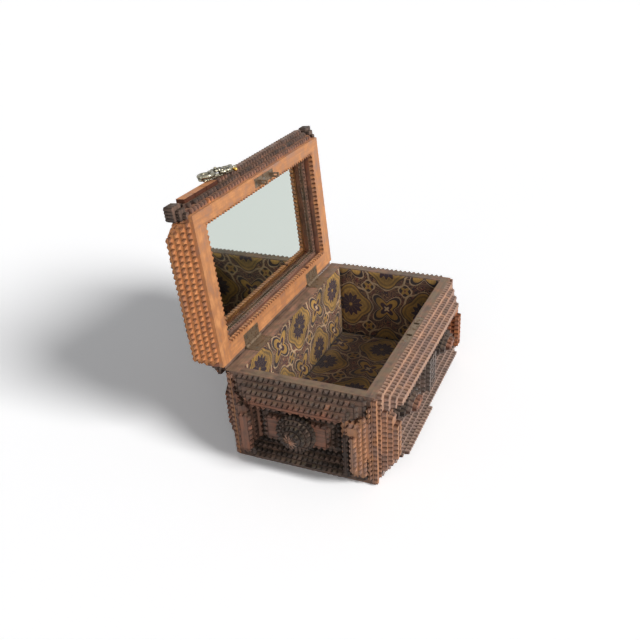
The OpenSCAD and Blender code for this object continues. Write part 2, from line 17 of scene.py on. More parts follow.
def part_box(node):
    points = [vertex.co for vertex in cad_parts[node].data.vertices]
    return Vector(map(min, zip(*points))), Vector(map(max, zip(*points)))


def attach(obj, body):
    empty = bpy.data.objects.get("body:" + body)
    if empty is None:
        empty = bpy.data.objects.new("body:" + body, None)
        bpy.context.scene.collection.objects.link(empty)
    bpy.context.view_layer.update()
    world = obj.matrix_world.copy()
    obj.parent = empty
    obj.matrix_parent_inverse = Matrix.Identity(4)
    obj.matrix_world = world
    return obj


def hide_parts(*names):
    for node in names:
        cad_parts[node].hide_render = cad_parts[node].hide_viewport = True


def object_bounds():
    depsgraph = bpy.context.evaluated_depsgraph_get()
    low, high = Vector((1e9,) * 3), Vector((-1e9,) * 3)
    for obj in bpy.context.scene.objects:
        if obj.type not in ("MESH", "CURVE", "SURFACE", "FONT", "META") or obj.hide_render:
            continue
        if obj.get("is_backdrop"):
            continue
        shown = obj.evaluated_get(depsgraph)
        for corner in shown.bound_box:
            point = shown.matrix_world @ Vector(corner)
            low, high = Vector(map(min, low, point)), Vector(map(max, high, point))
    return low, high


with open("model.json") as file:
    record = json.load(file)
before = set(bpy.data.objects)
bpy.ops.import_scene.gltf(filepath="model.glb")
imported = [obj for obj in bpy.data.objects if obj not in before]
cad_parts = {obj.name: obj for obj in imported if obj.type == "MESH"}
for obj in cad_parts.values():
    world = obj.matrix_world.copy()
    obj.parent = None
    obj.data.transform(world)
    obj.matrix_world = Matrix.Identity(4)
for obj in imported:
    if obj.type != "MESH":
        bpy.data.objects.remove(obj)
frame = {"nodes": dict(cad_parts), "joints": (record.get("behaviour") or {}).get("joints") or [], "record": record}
cad_low, cad_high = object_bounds()
MM = 0.001


def in_mm(lengths):
    """Lengths as rounded millimetres, for printing."""
    return [round(float(x) / MM, 1) for x in lengths]


print("CAD box, mm:", in_mm(b - a for a, b in zip(cad_low, cad_high)))

# %% [markdown]
# The photograph looks down on the left end and a little along the front, from about 0.74 m away. The
# lens and its shift are set from the places of the box's corners in the picture. The camera was held a
# little crooked, so it is rolled by the same angle here.

# %% Camera
IMAGE = 640
FOCAL_PIXELS = 743.0
AXIS_PIXEL = (343.9, 341.9)
SENSOR = 36.0
AZIMUTH, ELEVATION, ROLL = -66.77, 29.86, -2.65
DISTANCE = 0.7369
TARGET = Vector((0.66, 8.85, 64.08)) * MM


def placed(name, data):
    """A new object in the scene."""
    thing = bpy.data.objects.new(name, data)
    bpy.context.scene.collection.objects.link(thing)
    return thing


def box_camera():
    """The camera on a ball round the target, turned about its own axis by the roll."""
    a, e, r = (math.radians(x) for x in (AZIMUTH, ELEVATION, ROLL))
    back = Vector((math.sin(a) * math.cos(e), -math.cos(a) * math.cos(e), math.sin(e)))
    side = Vector((0, 0, 1)).cross(back).normalized()
    up = back.cross(side)
    right = math.cos(r) * side + math.sin(r) * up
    top = math.cos(r) * up - math.sin(r) * side
    lens = bpy.data.cameras.new("camera")
    lens.sensor_width = SENSOR
    lens.lens = FOCAL_PIXELS * SENSOR / IMAGE
    lens.shift_x = (IMAGE / 2 - AXIS_PIXEL[0]) / IMAGE
    lens.shift_y = (AXIS_PIXEL[1] - IMAGE / 2) / IMAGE
    lens.clip_start = 0.01
    camera = placed("camera", lens)
    turn = Matrix((right, top, back)).transposed().to_4x4()
    camera.matrix_world = Matrix.Translation(TARGET + back * DISTANCE) @ turn
    return camera


bpy.context.scene.camera = box_camera()
bpy.context.scene.view_settings.view_transform = "Standard"
print("camera at, mm:", in_mm(bpy.context.scene.camera.location))

# %% [markdown]
# Nodes are wired many times below, so the helpers come first. A Wires object adds nodes to one tree, and
# what it feeds to a socket is a plain value or another node's output. Then come two functions, for an
# empty group with named sockets and for a material with its Principled shader, and one for colours.

# %% A helper that wires nodes
def numbered(values):
    """Values for a node's first sockets, as n0, n1 and so on."""
    return {f"n{i}": value for i, value in enumerate(values)}


class Wires:
    """Adds nodes to a tree."""

    def __init__(self, tree):
        self.tree = tree

    def feed(self, into, value):
        """Links a socket to an output, or sets its own value."""
        if isinstance(value, bpy.types.NodeSocket):
            self.tree.links.new(value, into)
        else:
            into.default_value = value

    def add(self, kind, settings=(), **values):
        """A new node. Settings are its own choices. Values are for its sockets: by name, with _ for a
        space, or by number, as n0."""
        node = self.tree.nodes.new(kind)
        for name, value in dict(settings).items():
            setattr(node, name, value)
        for name, value in values.items():
            if name[0] == "n" and name[1:].isdigit():
                into = node.inputs[int(name[1:])]
            else:
                label = name.replace("_", " ")
                into = next(s for s in node.inputs if s.name == label and s.enabled)
            self.feed(into, value)
        return node

    def out(self, kind, settings=(), **values):
        """A new node's first output."""
        return self.add(kind, settings, **values).outputs[0]

    def math(self, operation, *values):
        """A Math node's result."""
        return self.out("ShaderNodeMath", {"operation": operation}, **numbered(values))

    def vector(self, operation, *values, **others):
        """A Vector Math node's result."""
        node = self.add("ShaderNodeVectorMath", {"operation": operation}, **numbered(values), **others)
        return node.outputs["Value" if operation == "LENGTH" else "Vector"]

    def parts(self, vector):
        """A vector's X, Y and Z."""
        return self.add("ShaderNodeSeparateXYZ", Vector=vector).outputs

    def mix(self, share, a, b, blend="MIX"):
        """A Mix node's colour."""
        settings = {"data_type": "RGBA", "blend_type": blend}
        return self.add("ShaderNodeMix", settings, n0=share, n6=a, n7=b).outputs[2]

    def step(self, value, low, high, to_low=0.0, to_high=1.0):
        """A smooth step of a value from one range to another."""
        return self.out("ShaderNodeMapRange", {"interpolation_type": "SMOOTHSTEP"}, Value=value, From_Min=low,
                        From_Max=high, To_Min=to_low, To_Max=to_high)

    def noise(self, place, scale, detail, **others):
        """A noise texture's value."""
        return self.out("ShaderNodeTexNoise", Vector=place, Scale=scale, Detail=detail, **others)

    def bump(self, strength, distance, height):
        """A Bump node's normal."""
        return self.out("ShaderNodeBump", Strength=strength, Distance=distance, Height=height)

    def attribute(self, name):
        """A value that is stored on the mesh."""
        return self.add("ShaderNodeAttribute", {"attribute_name": name}).outputs["Fac"]

    def group(self, group, **values):
        """The outputs of a group that is placed in the tree."""
        return self.add("ShaderNodeGroup", {"node_tree": group}, **values).outputs


print("wires ready")

# %% Groups, materials and colours
SOCKET_KINDS = {"v": "NodeSocketFloat", "c": "NodeSocketColor", "p": "NodeSocketVector",
                "i": "NodeSocketInt", "g": "NodeSocketGeometry", "m": "NodeSocketMaterial"}


def group_tree(name, inputs, outputs, kind="ShaderNodeTree"):
    """An empty group. Inputs are (name, kind letter, default); outputs are (name, kind letter)."""
    tree = bpy.data.node_groups.new(name, kind)
    for label, letter, default in inputs:
        made = tree.interface.new_socket(label, in_out="INPUT", socket_type=SOCKET_KINDS[letter])
        if default is not None:
            made.default_value = default
    for label, letter in outputs:
        tree.interface.new_socket(label, in_out="OUTPUT", socket_type=SOCKET_KINDS[letter])
    return Wires(tree), tree.nodes.new("NodeGroupInput").outputs, tree.nodes.new("NodeGroupOutput").inputs


def new_material(name):
    """A material, its wires, and the sockets of its Principled shader."""
    material = bpy.data.materials.new(name)
    material.use_nodes = True
    tree = material.node_tree
    return material, Wires(tree), tree.nodes["Principled BSDF"].inputs


def colour(*rgb):
    """A colour as it is written, from 0 to 255 in the usual screen scale, with its alpha."""
    return tuple((c / 255 / 12.92) if c < 11 else ((c / 255 + 0.055) / 1.055) ** 2.4 for c in rgb) + (1.0,)


print("kinds of socket:", len(SOCKET_KINDS))

# %% [markdown]
# The stage is a pale floor. A broad, soft sun stands in front of the box, so the front and the inside of
# the lid are bright, the rims are dimmer, and a soft shadow falls behind. A weak fill from the left end
# and an even white sky open up the shade. The lights are kept at a plain level; the camera sees the floor
# whiter than the object does, by Light Path, so the floor throws little light back on the box.

# %% Floor, lamps and sky
FLOOR_HALF = 6.0
LAMPS = {"key sun": (Vector((-0.20, -1.0, 0.66)), 3.2, math.radians(22)),
         "fill sun": (Vector((-1.0, -0.30, 0.28)), 0.9, math.radians(60))}
LAMP_WHITE = (1.0, 0.98, 0.95)
WHITE = (1.0, 1.0, 1.0, 1.0)
SKY_LIGHT = 0.16
FLOOR_GREY = (0.4, 0.4, 0.4, 1.0)
FLOOR_WHITE = (1.2, 1.22, 1.26, 1.0)
FLOOR_GLOW = 0.05


def camera_mask(wire):
    """1 where the camera, a mirror or a clear body looks straight at the background."""
    path = wire.add("ShaderNodeLightPath").outputs
    through = wire.math("MAXIMUM", path["Is Glossy Ray"], path["Is Transmission Ray"])
    return wire.math("MAXIMUM", path["Is Camera Ray"], through)


def pale_floor():
    h = FLOOR_HALF
    mesh = bpy.data.meshes.new("floor")
    mesh.from_pydata([(-h, -h, 0), (h, -h, 0), (h, h, 0), (-h, h, 0)], [], [(0, 1, 2, 3)])
    material, wire, _ = new_material("pale floor")
    wire.tree.nodes.clear()
    seen = camera_mask(wire)
    matt = wire.out("ShaderNodeBsdfDiffuse", Color=wire.mix(seen, FLOOR_GREY, FLOOR_WHITE))
    glow = wire.out("ShaderNodeEmission", Color=WHITE, Strength=wire.math("MULTIPLY", seen, FLOOR_GLOW))
    wire.add("ShaderNodeOutputMaterial", Surface=wire.out("ShaderNodeAddShader", n0=matt, n1=glow))
    mesh.materials.append(material)
    placed("floor", mesh)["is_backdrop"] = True


def white_sky():
    world = bpy.data.worlds.new("sky")
    bpy.context.scene.world = world
    world.use_nodes = True
    wire = Wires(world.node_tree)
    wire.tree.nodes.clear()
    strength = wire.out("ShaderNodeMapRange", Value=camera_mask(wire), To_Min=SKY_LIGHT, To_Max=1.0)
    sky = wire.out("ShaderNodeBackground", Color=WHITE, Strength=strength)
    wire.add("ShaderNodeOutputWorld", Surface=sky)


def soft_sun(name, place, strength, spread):
    lamp = bpy.data.lights.new(name, "SUN")
    lamp.angle = spread
    lamp.energy = strength
    lamp.color = LAMP_WHITE
    placed(name, lamp).matrix_world = (-place).to_track_quat("-Z", "Y").to_matrix().to_4x4()


pale_floor()
white_sky()
for lamp_name, setting in LAMPS.items():
    soft_sun(lamp_name, *setting)
print("stage ready, lamps:", len(LAMPS))

# %% [markdown]
# Three effects are shared by every wood on the box. Grain is a noise drawn out along the board. Stain
# turns one number, from 0 for sooty to 1 for fresh cedar, into a colour, and mottles it. Dust is a grey
# film that settles on faces that look upwards.

# %% Shader groups for wood
FIBRE_FINER = 4.0
STAINS = [(0.0, colour(24, 20, 19)), (0.2, colour(66, 54, 48)), (0.4, colour(114, 91, 79)),
          (0.6, colour(156, 116, 97)), (0.8, colour(184, 126, 84)), (1.0, colour(212, 150, 100))]
MOTTLE_SCALE, DUST_SCALE = 90.0, 140.0
STREAK = 0.5


def grain_group():
    wire, source, result = group_tree(
        "wood grain", [("Vector", "p", None), ("Stretch", "p", (1, 1, 1)), ("Scale", "v", 300.0)],
        [("Grain", "v"), ("Fibre", "v")])
    drawn = wire.vector("MULTIPLY", source["Vector"], source["Stretch"])
    fine_scale = wire.math("MULTIPLY", source["Scale"], FIBRE_FINER)
    wire.feed(result["Grain"], wire.noise(drawn, source["Scale"], 4.0, Distortion=0.6))
    wire.feed(result["Fibre"], wire.noise(drawn, fine_scale, 3.0))
    return wire.tree


def stain_group():
    wire, source, result = group_tree(
        "old stain",
        [("Vector", "p", None), ("Stain", "v", 0.5), ("Grain", "v", 0.5), ("Mottle", "v", 0.25)],
        [("Color", "c"), ("Dirt", "v")])
    spots = wire.noise(source["Vector"], MOTTLE_SCALE, 5.0, Roughness=0.65)
    shift = wire.math("MULTIPLY", wire.math("SUBTRACT", spots, 0.5), source["Mottle"])
    shift = wire.math("MULTIPLY", shift, 2.0)
    streak = wire.math("MULTIPLY", wire.math("SUBTRACT", source["Grain"], 0.5), STREAK)
    level = wire.math("ADD", wire.math("ADD", source["Stain"], shift), streak)
    ramp = wire.add("ShaderNodeValToRGB", Fac=level)
    points = ramp.color_ramp.elements
    while len(points) < len(STAINS):
        points.new(0.5)
    for point, (at, shade) in zip(points, STAINS):
        point.position = at
        point.color = shade
    wire.feed(result["Color"], ramp.outputs[0])
    wire.feed(result["Dirt"], wire.step(spots, 0.35, 0.68))
    return wire.tree


def dust_group():
    wire, source, result = group_tree(
        "settled dust", [("Vector", "p", None), ("Amount", "v", 0.3)], [("Mask", "v")])
    up = wire.parts(wire.add("ShaderNodeNewGeometry").outputs["Normal"])[2]
    cloud = wire.step(wire.noise(source["Vector"], DUST_SCALE, 4.0), 0.3, 0.7)
    mask = wire.math("MULTIPLY", wire.step(up, 0.2, 0.95), cloud)
    wire.feed(result["Mask"], wire.math("MULTIPLY", mask, source["Amount"]))
    return wire.tree


GRAIN, STAIN, DUST = grain_group(), stain_group(), dust_group()
print("wood groups:", GRAIN.name, STAIN.name, DUST.name)

# %% [markdown]
# One recipe makes all the woods. The carved boards read the stain and tone of each strip, the wear of
# each tooth, and the darkening of the cuts, which is partly grime and partly painted shade, from
# attributes on the mesh; plain boards have one stain for the whole board. The grain runs along X, Y or
# Z, as the board does.

# %% Wood materials
STRETCH = {"x": (0.06, 1, 1), "y": (1, 0.06, 1), "z": (1, 1, 0.06)}
DUST_GREY = colour(128, 112, 88)
WEAR_LIFT = -0.06
# The brown that the cuts are darkened towards: partly grime, partly painted shade
GRIME_AND_SHADE_BROWN = colour(98, 78, 70)
CUT_ROUGH = 0.2
RED_TINT = colour(255, 214, 196)
GREYED = 0.3
WOOD_SPECULAR = 0.35
CLEAN_GLOSS, DIRT_GLOSS = -0.12, 0.15
GRAIN_BUMP, GRAIN_DEEP = 0.25, 0.0006


def toned(wire, tone, base):
    """A stain's colour, greyed where the tone is below 0 and reddened where it is above."""
    if isinstance(tone, bpy.types.NodeSocket):
        grey = wire.out("ShaderNodeHueSaturation", Saturation=GREYED, Color=base)
        base = wire.mix(wire.math("MULTIPLY", tone, -1.0), base, grey)
    elif tone == 0:
        return base
    return wire.mix(tone, base, RED_TINT, "MULTIPLY")


def wood(name, along, stain=None, mottle=0.25, dust=0.35, rough=0.62, grain_scale=420.0, tone=0.0):
    """A wood with its grain along an axis. With no stain given, each strip's own is read from the mesh."""
    material, wire, shader = new_material(name)
    carved = stain is None
    place = wire.add("ShaderNodeTexCoord").outputs["Object"]
    grain = wire.group(GRAIN, Vector=place, Stretch=STRETCH[along], Scale=grain_scale)
    if carved:
        strip, wear, grime, tone = (wire.attribute(label) for label in ("stain", "wear", "grime", "tone"))
        stain = wire.math("ADD", strip, wire.math("MULTIPLY", wear, WEAR_LIFT))
    tint = wire.group(STAIN, Vector=place, Stain=stain, Grain=grain["Grain"], Mottle=mottle)
    film = wire.group(DUST, Vector=place, Amount=dust)
    base = wire.mix(film["Mask"], toned(wire, tone, tint["Color"]), DUST_GREY)
    sheen = wire.step(tint["Dirt"], 0.0, 1.0, rough + CLEAN_GLOSS, rough + DIRT_GLOSS)
    # The cuts are darkened: partly grime, partly painted shade
    if carved:
        base = wire.mix(grime, base, GRIME_AND_SHADE_BROWN, "MULTIPLY")
        sheen = wire.math("ADD", sheen, wire.math("MULTIPLY", grime, CUT_ROUGH))
    wire.feed(shader["Base Color"], base)
    wire.feed(shader["Roughness"], sheen)
    wire.feed(shader["Specular IOR Level"], WOOD_SPECULAR)
    wire.feed(shader["Normal"], wire.bump(GRAIN_BUMP, GRAIN_DEEP, grain["Fibre"]))
    return material


carved_wood = {axis: wood("carved wood along " + axis, axis) for axis in "xyz"}
rim_wood = {axis: wood("worn rim wood along " + axis, axis, stain=level, mottle=0.5, dust=0.65)
            for axis, level in (("x", 0.44), ("y", 0.38))}
inner_wood = {axis: wood("lid rail wood along " + axis, axis, stain=0.5, mottle=0.3, dust=0.1, tone=0.7)
              for axis in "xz"}
cedar = {axis: wood("fresh cedar along " + axis, axis, stain=0.82, mottle=0.45, dust=0.0, rough=0.5,
                    grain_scale=360.0) for axis in "xz"}
bead_wood = wood("mirror bead wood", "x", stain=0.44, mottle=0.3, dust=0.25)
cut_bead_wood = wood("notched bead wood", "x", dust=0.08)
back_rim_wood = wood("back rim wood", "x", stain=0.44, mottle=0.5, dust=0.45)
under_wood = wood("underside wood", "x", stain=0.3, mottle=0.3, dust=0.0)
print("materials so far:", len(bpy.data.materials))

# %% [markdown]
# Every carved board is an even plate: an outline drawn through a thickness. The outline is read back
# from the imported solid, so the carving always fits it. The lid is packed standing open, so its boards
# are turned to the closed place first, where they lie square to the axes, and turned back at the end.

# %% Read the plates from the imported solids
hinge = next(j for j in frame["joints"] if j["name"] == "lid_hinge")
PIVOT = Vector(hinge["pos_m"])
OPEN_ANGLE = math.radians(hinge["range_deg"][1])
to_open = Matrix.Translation(PIVOT) @ Matrix.Rotation(-OPEN_ANGLE, 4, "X") @ Matrix.Translation(-PIVOT)
lid_nodes = set(frame["record"]["behaviour"]["bodies"]["lid"])
MERGE = 0.00001
STRAIGHT = 1e-4


def islands_of(node):
    """The node's separate solids, square to the axes: for each, the corners of its faces."""
    whole = bmesh.new()
    whole.from_mesh(frame["nodes"][node].data)
    bmesh.ops.remove_doubles(whole, verts=whole.verts, dist=MERGE)
    if node in lid_nodes:
        bmesh.ops.transform(whole, matrix=to_open.inverted(), verts=whole.verts)
    left, found = set(whole.faces), []
    while left:
        seed = min(left, key=lambda f: f.index)
        solid, to_visit = {seed}, [seed]
        while to_visit:
            for edge in to_visit.pop().edges:
                fresh = set(edge.link_faces) - solid
                solid |= fresh
                to_visit += fresh
        left -= solid
        found.append([[tuple(v.co) for v in f.verts] for f in sorted(solid, key=lambda f: f.index)])
    whole.free()
    return found


def straightened(outline):
    """The outline without points that lie on a straight side."""
    before, after = outline - np.roll(outline, 1, 0), np.roll(outline, -1, 0) - outline
    bend = np.linalg.norm(np.cross(before, after), axis=1)
    return outline[bend > STRAIGHT * np.linalg.norm(before, axis=1) * np.linalg.norm(after, axis=1)]


def plate_of(faces, axis=None):
    """A solid as a plate: its lift direction, its thickness and its outline's points in order on the base.
    It is thin along the given axis, or along its shortest side."""
    points = np.array([p for f in faces for p in f])
    low, high = points.min(0), points.max(0)
    axis = int(np.argmin(high - low)) if axis is None else axis
    sign = 1 if (low + high)[axis] >= 0 else -1
    lift = np.zeros(3)
    lift[axis] = sign
    outer, inner = (high[axis], low[axis]) if sign > 0 else (low[axis], high[axis])
    sides = set()
    for f in faces:
        if all(abs(p[axis] - outer) < MERGE for p in f):
            keys = [tuple(round(c, 6) for c in p) for p in f]
            for a, b in zip(keys, keys[1:] + keys[:1]):
                # A side that two of the outer faces share runs both ways, and isn't on the outline
                if (b, a) in sides:
                    sides.remove((b, a))
                else:
                    sides.add((a, b))
    following = dict(sides)
    loop = [min(following)]
    while following[loop[-1]] != loop[0]:
        loop.append(following[loop[-1]])
    outline = np.array(loop)
    outline[:, axis] = inner
    return lift, abs(outer - inner), straightened(outline)


lift, thick, outline = plate_of(islands_of("left_boss")[0])
print("largest disc of the boss has", len(outline), "outline points,", round(thick / MM, 2), "mm thick")

# %% [markdown]
# A carved plate is a core board, drawn in from the outline by the depth of the cuts, and a row of teeth
# round it. The teeth repeat thousands of times, so Geometry Nodes set them out: each side of the outline
# is a curve, the curve is divided by the pitch of the cuts, and a tooth stands on each point, a little
# uneven as a knife leaves it. The knife takes a chip out of the board's face, so two teeth nearly touch
# at the foot, where the board meets the one below, and stand apart at the face. A few teeth are lost.

# %% The notched-edge tree
FRESH_WOOD = 0.22
# The least darkening on a cut facet, partly grime and partly painted shade
CUT_GRIME_AND_SHADE = 0.68
SIDE_FACING = 0.3
ROOT = 0.25
TOOTH_CHANCE = 0.07


def tooth_tree():
    wire, source, result = group_tree(
        "notched edges",
        [("Boards and rims", "g", None), ("Face tip", "v", 0.12), ("Foot tip", "v", 0.75),
         ("Unevenness", "v", 0.12), ("Lost share", "v", 0.008), ("Broken share", "v", 0.015),
         ("Seed", "i", 7), ("Wood", "m", None)],
        [("Carved", "g")], "GeometryNodeTree")

    def named(name, kind="FLOAT"):
        return wire.out("GeometryNodeInputNamedAttribute", {"data_type": kind}, Name=name)

    def stored(geometry, name, domain, value):
        return wire.out("GeometryNodeStoreNamedAttribute", {"data_type": "FLOAT", "domain": domain},
                        Geometry=geometry, Name=name, Value=value)

    def uneven(offset, low, high):
        seed = wire.math("ADD", source["Seed"], offset)
        node = wire.add("FunctionNodeRandomValue", {"data_type": "FLOAT"}, Min=low, Max=high, Seed=seed)
        return node.outputs[1]

    split = wire.add("GeometryNodeSeparateGeometry", {"domain": "POINT"}, Geometry=source["Boards and rims"],
                     Selection=named("rim", "BOOLEAN")).outputs
    curves = wire.out("GeometryNodeMeshToCurve", Mesh=split["Selection"])
    places = wire.out("GeometryNodeResampleCurve", {"mode": "COUNT"}, Curve=curves,
                      Count=named("teeth", "INT"))

    # A unit tooth, rooted a little in the core, wide at its foot and narrow at the tip of its face. Its
    # slanting sides are split the same way on every tooth
    block = wire.out("GeometryNodeMeshCube", Size=(1, 1, 1))
    spot = wire.parts(wire.out("GeometryNodeInputPosition"))
    height, reach = wire.math("ADD", spot[2], 0.5), wire.math("ADD", spot[1], 0.5)
    spare = wire.math("SUBTRACT", source["Face tip"], source["Foot tip"])
    tip = wire.math("ADD", source["Foot tip"], wire.math("MULTIPLY", spare, height))
    narrow = wire.math("MULTIPLY", reach, wire.math("SUBTRACT", 1.0, tip))
    across = wire.math("MULTIPLY", spot[0], wire.math("SUBTRACT", 1.0, narrow))
    out = wire.math("SUBTRACT", wire.math("MULTIPLY", reach, 1.0 + ROOT), ROOT)
    shaped = wire.out("GeometryNodeSetPosition", Geometry=block,
                      Position=wire.out("ShaderNodeCombineXYZ", X=across, Y=out, Z=height))
    tooth = stored(wire.out("GeometryNodeTriangulate", Mesh=shaped), "wear", "POINT", reach)

    # The cuts are darkened, most of all in their deepest corner: partly old polish gathered there, partly
    # painted shade; the tips are rubbed clean
    facing = wire.out("GeometryNodeFieldOnDomain", {"data_type": "FLOAT_VECTOR", "domain": "FACE"},
                      Value=wire.out("GeometryNodeInputNormal"))
    in_cut = wire.math("GREATER_THAN", wire.math("ABSOLUTE", wire.parts(facing)[0]), SIDE_FACING)
    depth = wire.math("MULTIPLY", wire.math("SUBTRACT", 1.0, reach), height)
    depth = wire.math("ADD", wire.math("MULTIPLY", depth, 1.0 - CUT_GRIME_AND_SHADE), CUT_GRIME_AND_SHADE)
    tooth = stored(tooth, "grime", "CORNER", wire.math("MULTIPLY", depth, in_cut))

    low = wire.math("SUBTRACT", 1.0, source["Unevenness"])
    high = wire.math("ADD", 1.0, source["Unevenness"])
    size = wire.out("ShaderNodeCombineXYZ", X=wire.math("MULTIPLY", named("pitch"), uneven(1, 1.0, high)),
                    Y=wire.math("MULTIPLY", named("deep"), uneven(2, low, 1.0)), Z=named("tall"))
    turn = wire.out("FunctionNodeAxesToRotation", {"primary_axis": "Z", "secondary_axis": "Y"},
                    Primary_Axis=named("lift", "FLOAT_VECTOR"), Secondary_Axis=named("out", "FLOAT_VECTOR"))
    kept = wire.math("GREATER_THAN", uneven(3, 0.0, 1.0), source["Lost share"])
    teeth = wire.out("GeometryNodeInstanceOnPoints", Points=places, Selection=kept, Instance=tooth,
                     Rotation=turn, Scale=size)
    stain = wire.math("ADD", named("stain"), uneven(4, -TOOTH_CHANCE, TOOTH_CHANCE))
    broken = wire.math("LESS_THAN", uneven(5, 0.0, 1.0), source["Broken share"])
    stain = wire.math("ADD", stain, wire.math("MULTIPLY", broken, FRESH_WOOD))
    joined = wire.add("GeometryNodeJoinGeometry")
    wire.feed(joined.inputs[0], stored(teeth, "stain", "INSTANCE", stain))
    wire.feed(joined.inputs[0], split["Inverted"])
    real = wire.out("GeometryNodeRealizeInstances", Geometry=joined.outputs[0])
    wire.feed(result["Carved"], wire.out("GeometryNodeSetMaterial", Geometry=real, Material=source["Wood"]))
    return wire.tree


TEETH = tooth_tree()
print("tree:", TEETH.name, "with", len(TEETH.nodes), "nodes")

# %% [markdown]
# A tree or a modifier is left on no piece. What it makes is copied to a plain mesh, and the object that
# carried it is thrown away. Each finished piece then says which body it moves with.

# %% Finished pieces
def plain_mesh(worker, name):
    """What a worker's modifiers make of it, as a plain mesh. The worker is removed."""
    graph = bpy.context.evaluated_depsgraph_get()
    mesh = bpy.data.meshes.new_from_object(worker.evaluated_get(graph), depsgraph=graph)
    mesh.name = name
    bpy.data.objects.remove(worker)
    return mesh


def riding(name, mesh, body):
    """A finished mesh as a piece that rides on a body."""
    piece = placed(name, mesh)
    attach(piece, body)
    return piece


# %% [markdown]
# The tree needs a mesh to work on: the core boards as faces, and the sides of the outlines as loose edges
# with their pitch, depth, stain and directions as attributes. A small class collects both, runs the tree
# and keeps what it made.

# %% Boards and rims for the tree
PITCH = 5.0 * MM
NOTCH = 2.6 * MM
LEAST_SIDE = 3.0 * MM
ATTRIBUTES = {"rim": "BOOLEAN", "teeth": "INT", "pitch": "FLOAT", "deep": "FLOAT", "tall": "FLOAT",
              "stain": "FLOAT", "tone": "FLOAT", "wear": "FLOAT", "lift": "FLOAT_VECTOR",
              "out": "FLOAT_VECTOR"}
NUMBERS = {"BOOLEAN": bool, "INT": int, "FLOAT": np.float32, "FLOAT_VECTOR": np.float32}


class Rims:
    """Collects core boards and the sides that teeth stand on, then makes one mesh of them."""

    def __init__(self, tone=0.0):
        self.tone = tone
        self.points, self.edges, self.faces, self.grime = [], [], [], []
        self.values = {name: [] for name in ATTRIBUTES}

    def put(self, points, **values):
        """Adds points with their attributes; out is a list, with one direction for each point."""
        first = len(self.points)
        self.points += [tuple(p) for p in points]
        values["tone"] = self.tone
        for name, kind in ATTRIBUTES.items():
            blank = (0.0, 0.0, 0.0) if kind == "FLOAT_VECTOR" else 0
            value = values.get(name, blank)
            self.values[name] += value if name == "out" and "out" in values else [value] * len(points)
        return first

    def board(self, outline, lift, thick, stain, grime=None):
        """A plain plate from its outline, counterclockwise as seen from the end of lift. Its sides are
        darkened, partly grime and partly painted shade, or as the list for each side says."""
        n = len(outline)
        first = self.put(outline, stain=stain)
        top = self.put(outline + lift * thick, stain=stain)
        self.faces.append([top + i for i in range(n)])
        self.faces.append([first + i for i in reversed(range(n))])
        for i in range(n):
            j = (i + 1) % n
            self.faces.append([first + i, first + j, top + j, top + i])
        self.grime += [0.0, 0.0] + ([1.0] * n if grime is None else list(grime))

    def side(self, line, outs, lift, thick, deep, stain, pitch, closed=False):
        """A side of an outline, as a line for the teeth."""
        steps = np.linalg.norm(np.diff(line, axis=0), axis=1)
        length = steps.sum() + (np.linalg.norm(line[0] - line[-1]) if closed else 0)
        teeth = max(2, round(length / pitch))
        if length < LEAST_SIDE:
            return
        if not closed:
            inset = (line[-1] - line[0]) / teeth / 2
            line = np.array([line[0] + inset, line[-1] - inset])
        first = self.put(line, rim=True, teeth=teeth, pitch=length / teeth, deep=deep, tall=thick,
                         stain=stain, lift=tuple(lift), out=[tuple(o) for o in outs])
        last = first + len(line) - 1
        self.edges += [(i, i + 1) for i in range(first, last)] + ([(last, first)] if closed else [])

    def carve(self, name, material, body, seed=7, lost=0.008):
        """Runs the tree over what was collected, and keeps its result as a piece on a body."""
        mesh = bpy.data.meshes.new(name)
        mesh.from_pydata(self.points, self.edges, self.faces)
        for label, kind in ATTRIBUTES.items():
            values = np.array(self.values[label], NUMBERS[kind]).ravel()
            field = "vector" if kind == "FLOAT_VECTOR" else "value"
            mesh.attributes.new(label, kind, "POINT").data.foreach_set(field, values)
        # How dark each face of the cores is: grime and painted shade on the cut sides
        mesh.attributes.new("grime", "FLOAT", "FACE").data.foreach_set("value", self.grime)
        worker = placed(name + ".tree", mesh)
        nodes = worker.modifiers.new("notches", "NODES")
        nodes.node_group = TEETH
        wanted = {"Seed": seed, "Lost share": lost, "Wood": material}
        for item in TEETH.interface.items_tree:
            if item.name in wanted and item.in_out == "INPUT":
                nodes[item.identifier] = wanted[item.name]
        carved = plain_mesh(worker, name)
        if body == "lid":
            carved.transform(to_open)
        return riding(name, carved, body)


print("pitch of the notches, mm:", PITCH / MM, "depth:", NOTCH / MM)

# %% [markdown]
# One function turns a plate into its core board and its rows of teeth. A plate with sharp corners has a
# row for each side. A disc has one row all round it, with each tooth pointing away from the middle.

# %% A plate's board and teeth
NARROW_SHARE = 0.3
CORNER_TURN = math.radians(30)
ALONG = 0.9
NEARLY_STRAIGHT = 0.98


def outward(outline, lift):
    """The outward direction of each side of an outline, in its plane."""
    along = np.roll(outline, -1, 0) - outline
    return np.cross(along / np.linalg.norm(along, axis=1)[:, None], lift)


def drawn_in(outline, out, deep):
    """The outline with each side moved inwards by its own depth."""
    before, deep_before = np.roll(out, 1, 0), np.roll(deep, 1)
    bend = (out * before).sum(1)
    square = np.maximum(1 - bend * bend, 1e-9)
    here, there = (bend * deep_before - deep) / square, (bend * deep - deep_before) / square
    even = -deep / np.maximum(1 + bend, 1e-6)
    here, there = (np.where(bend > NEARLY_STRAIGHT, even, x) for x in (here, there))
    return outline + out * here[:, None] + before * there[:, None]


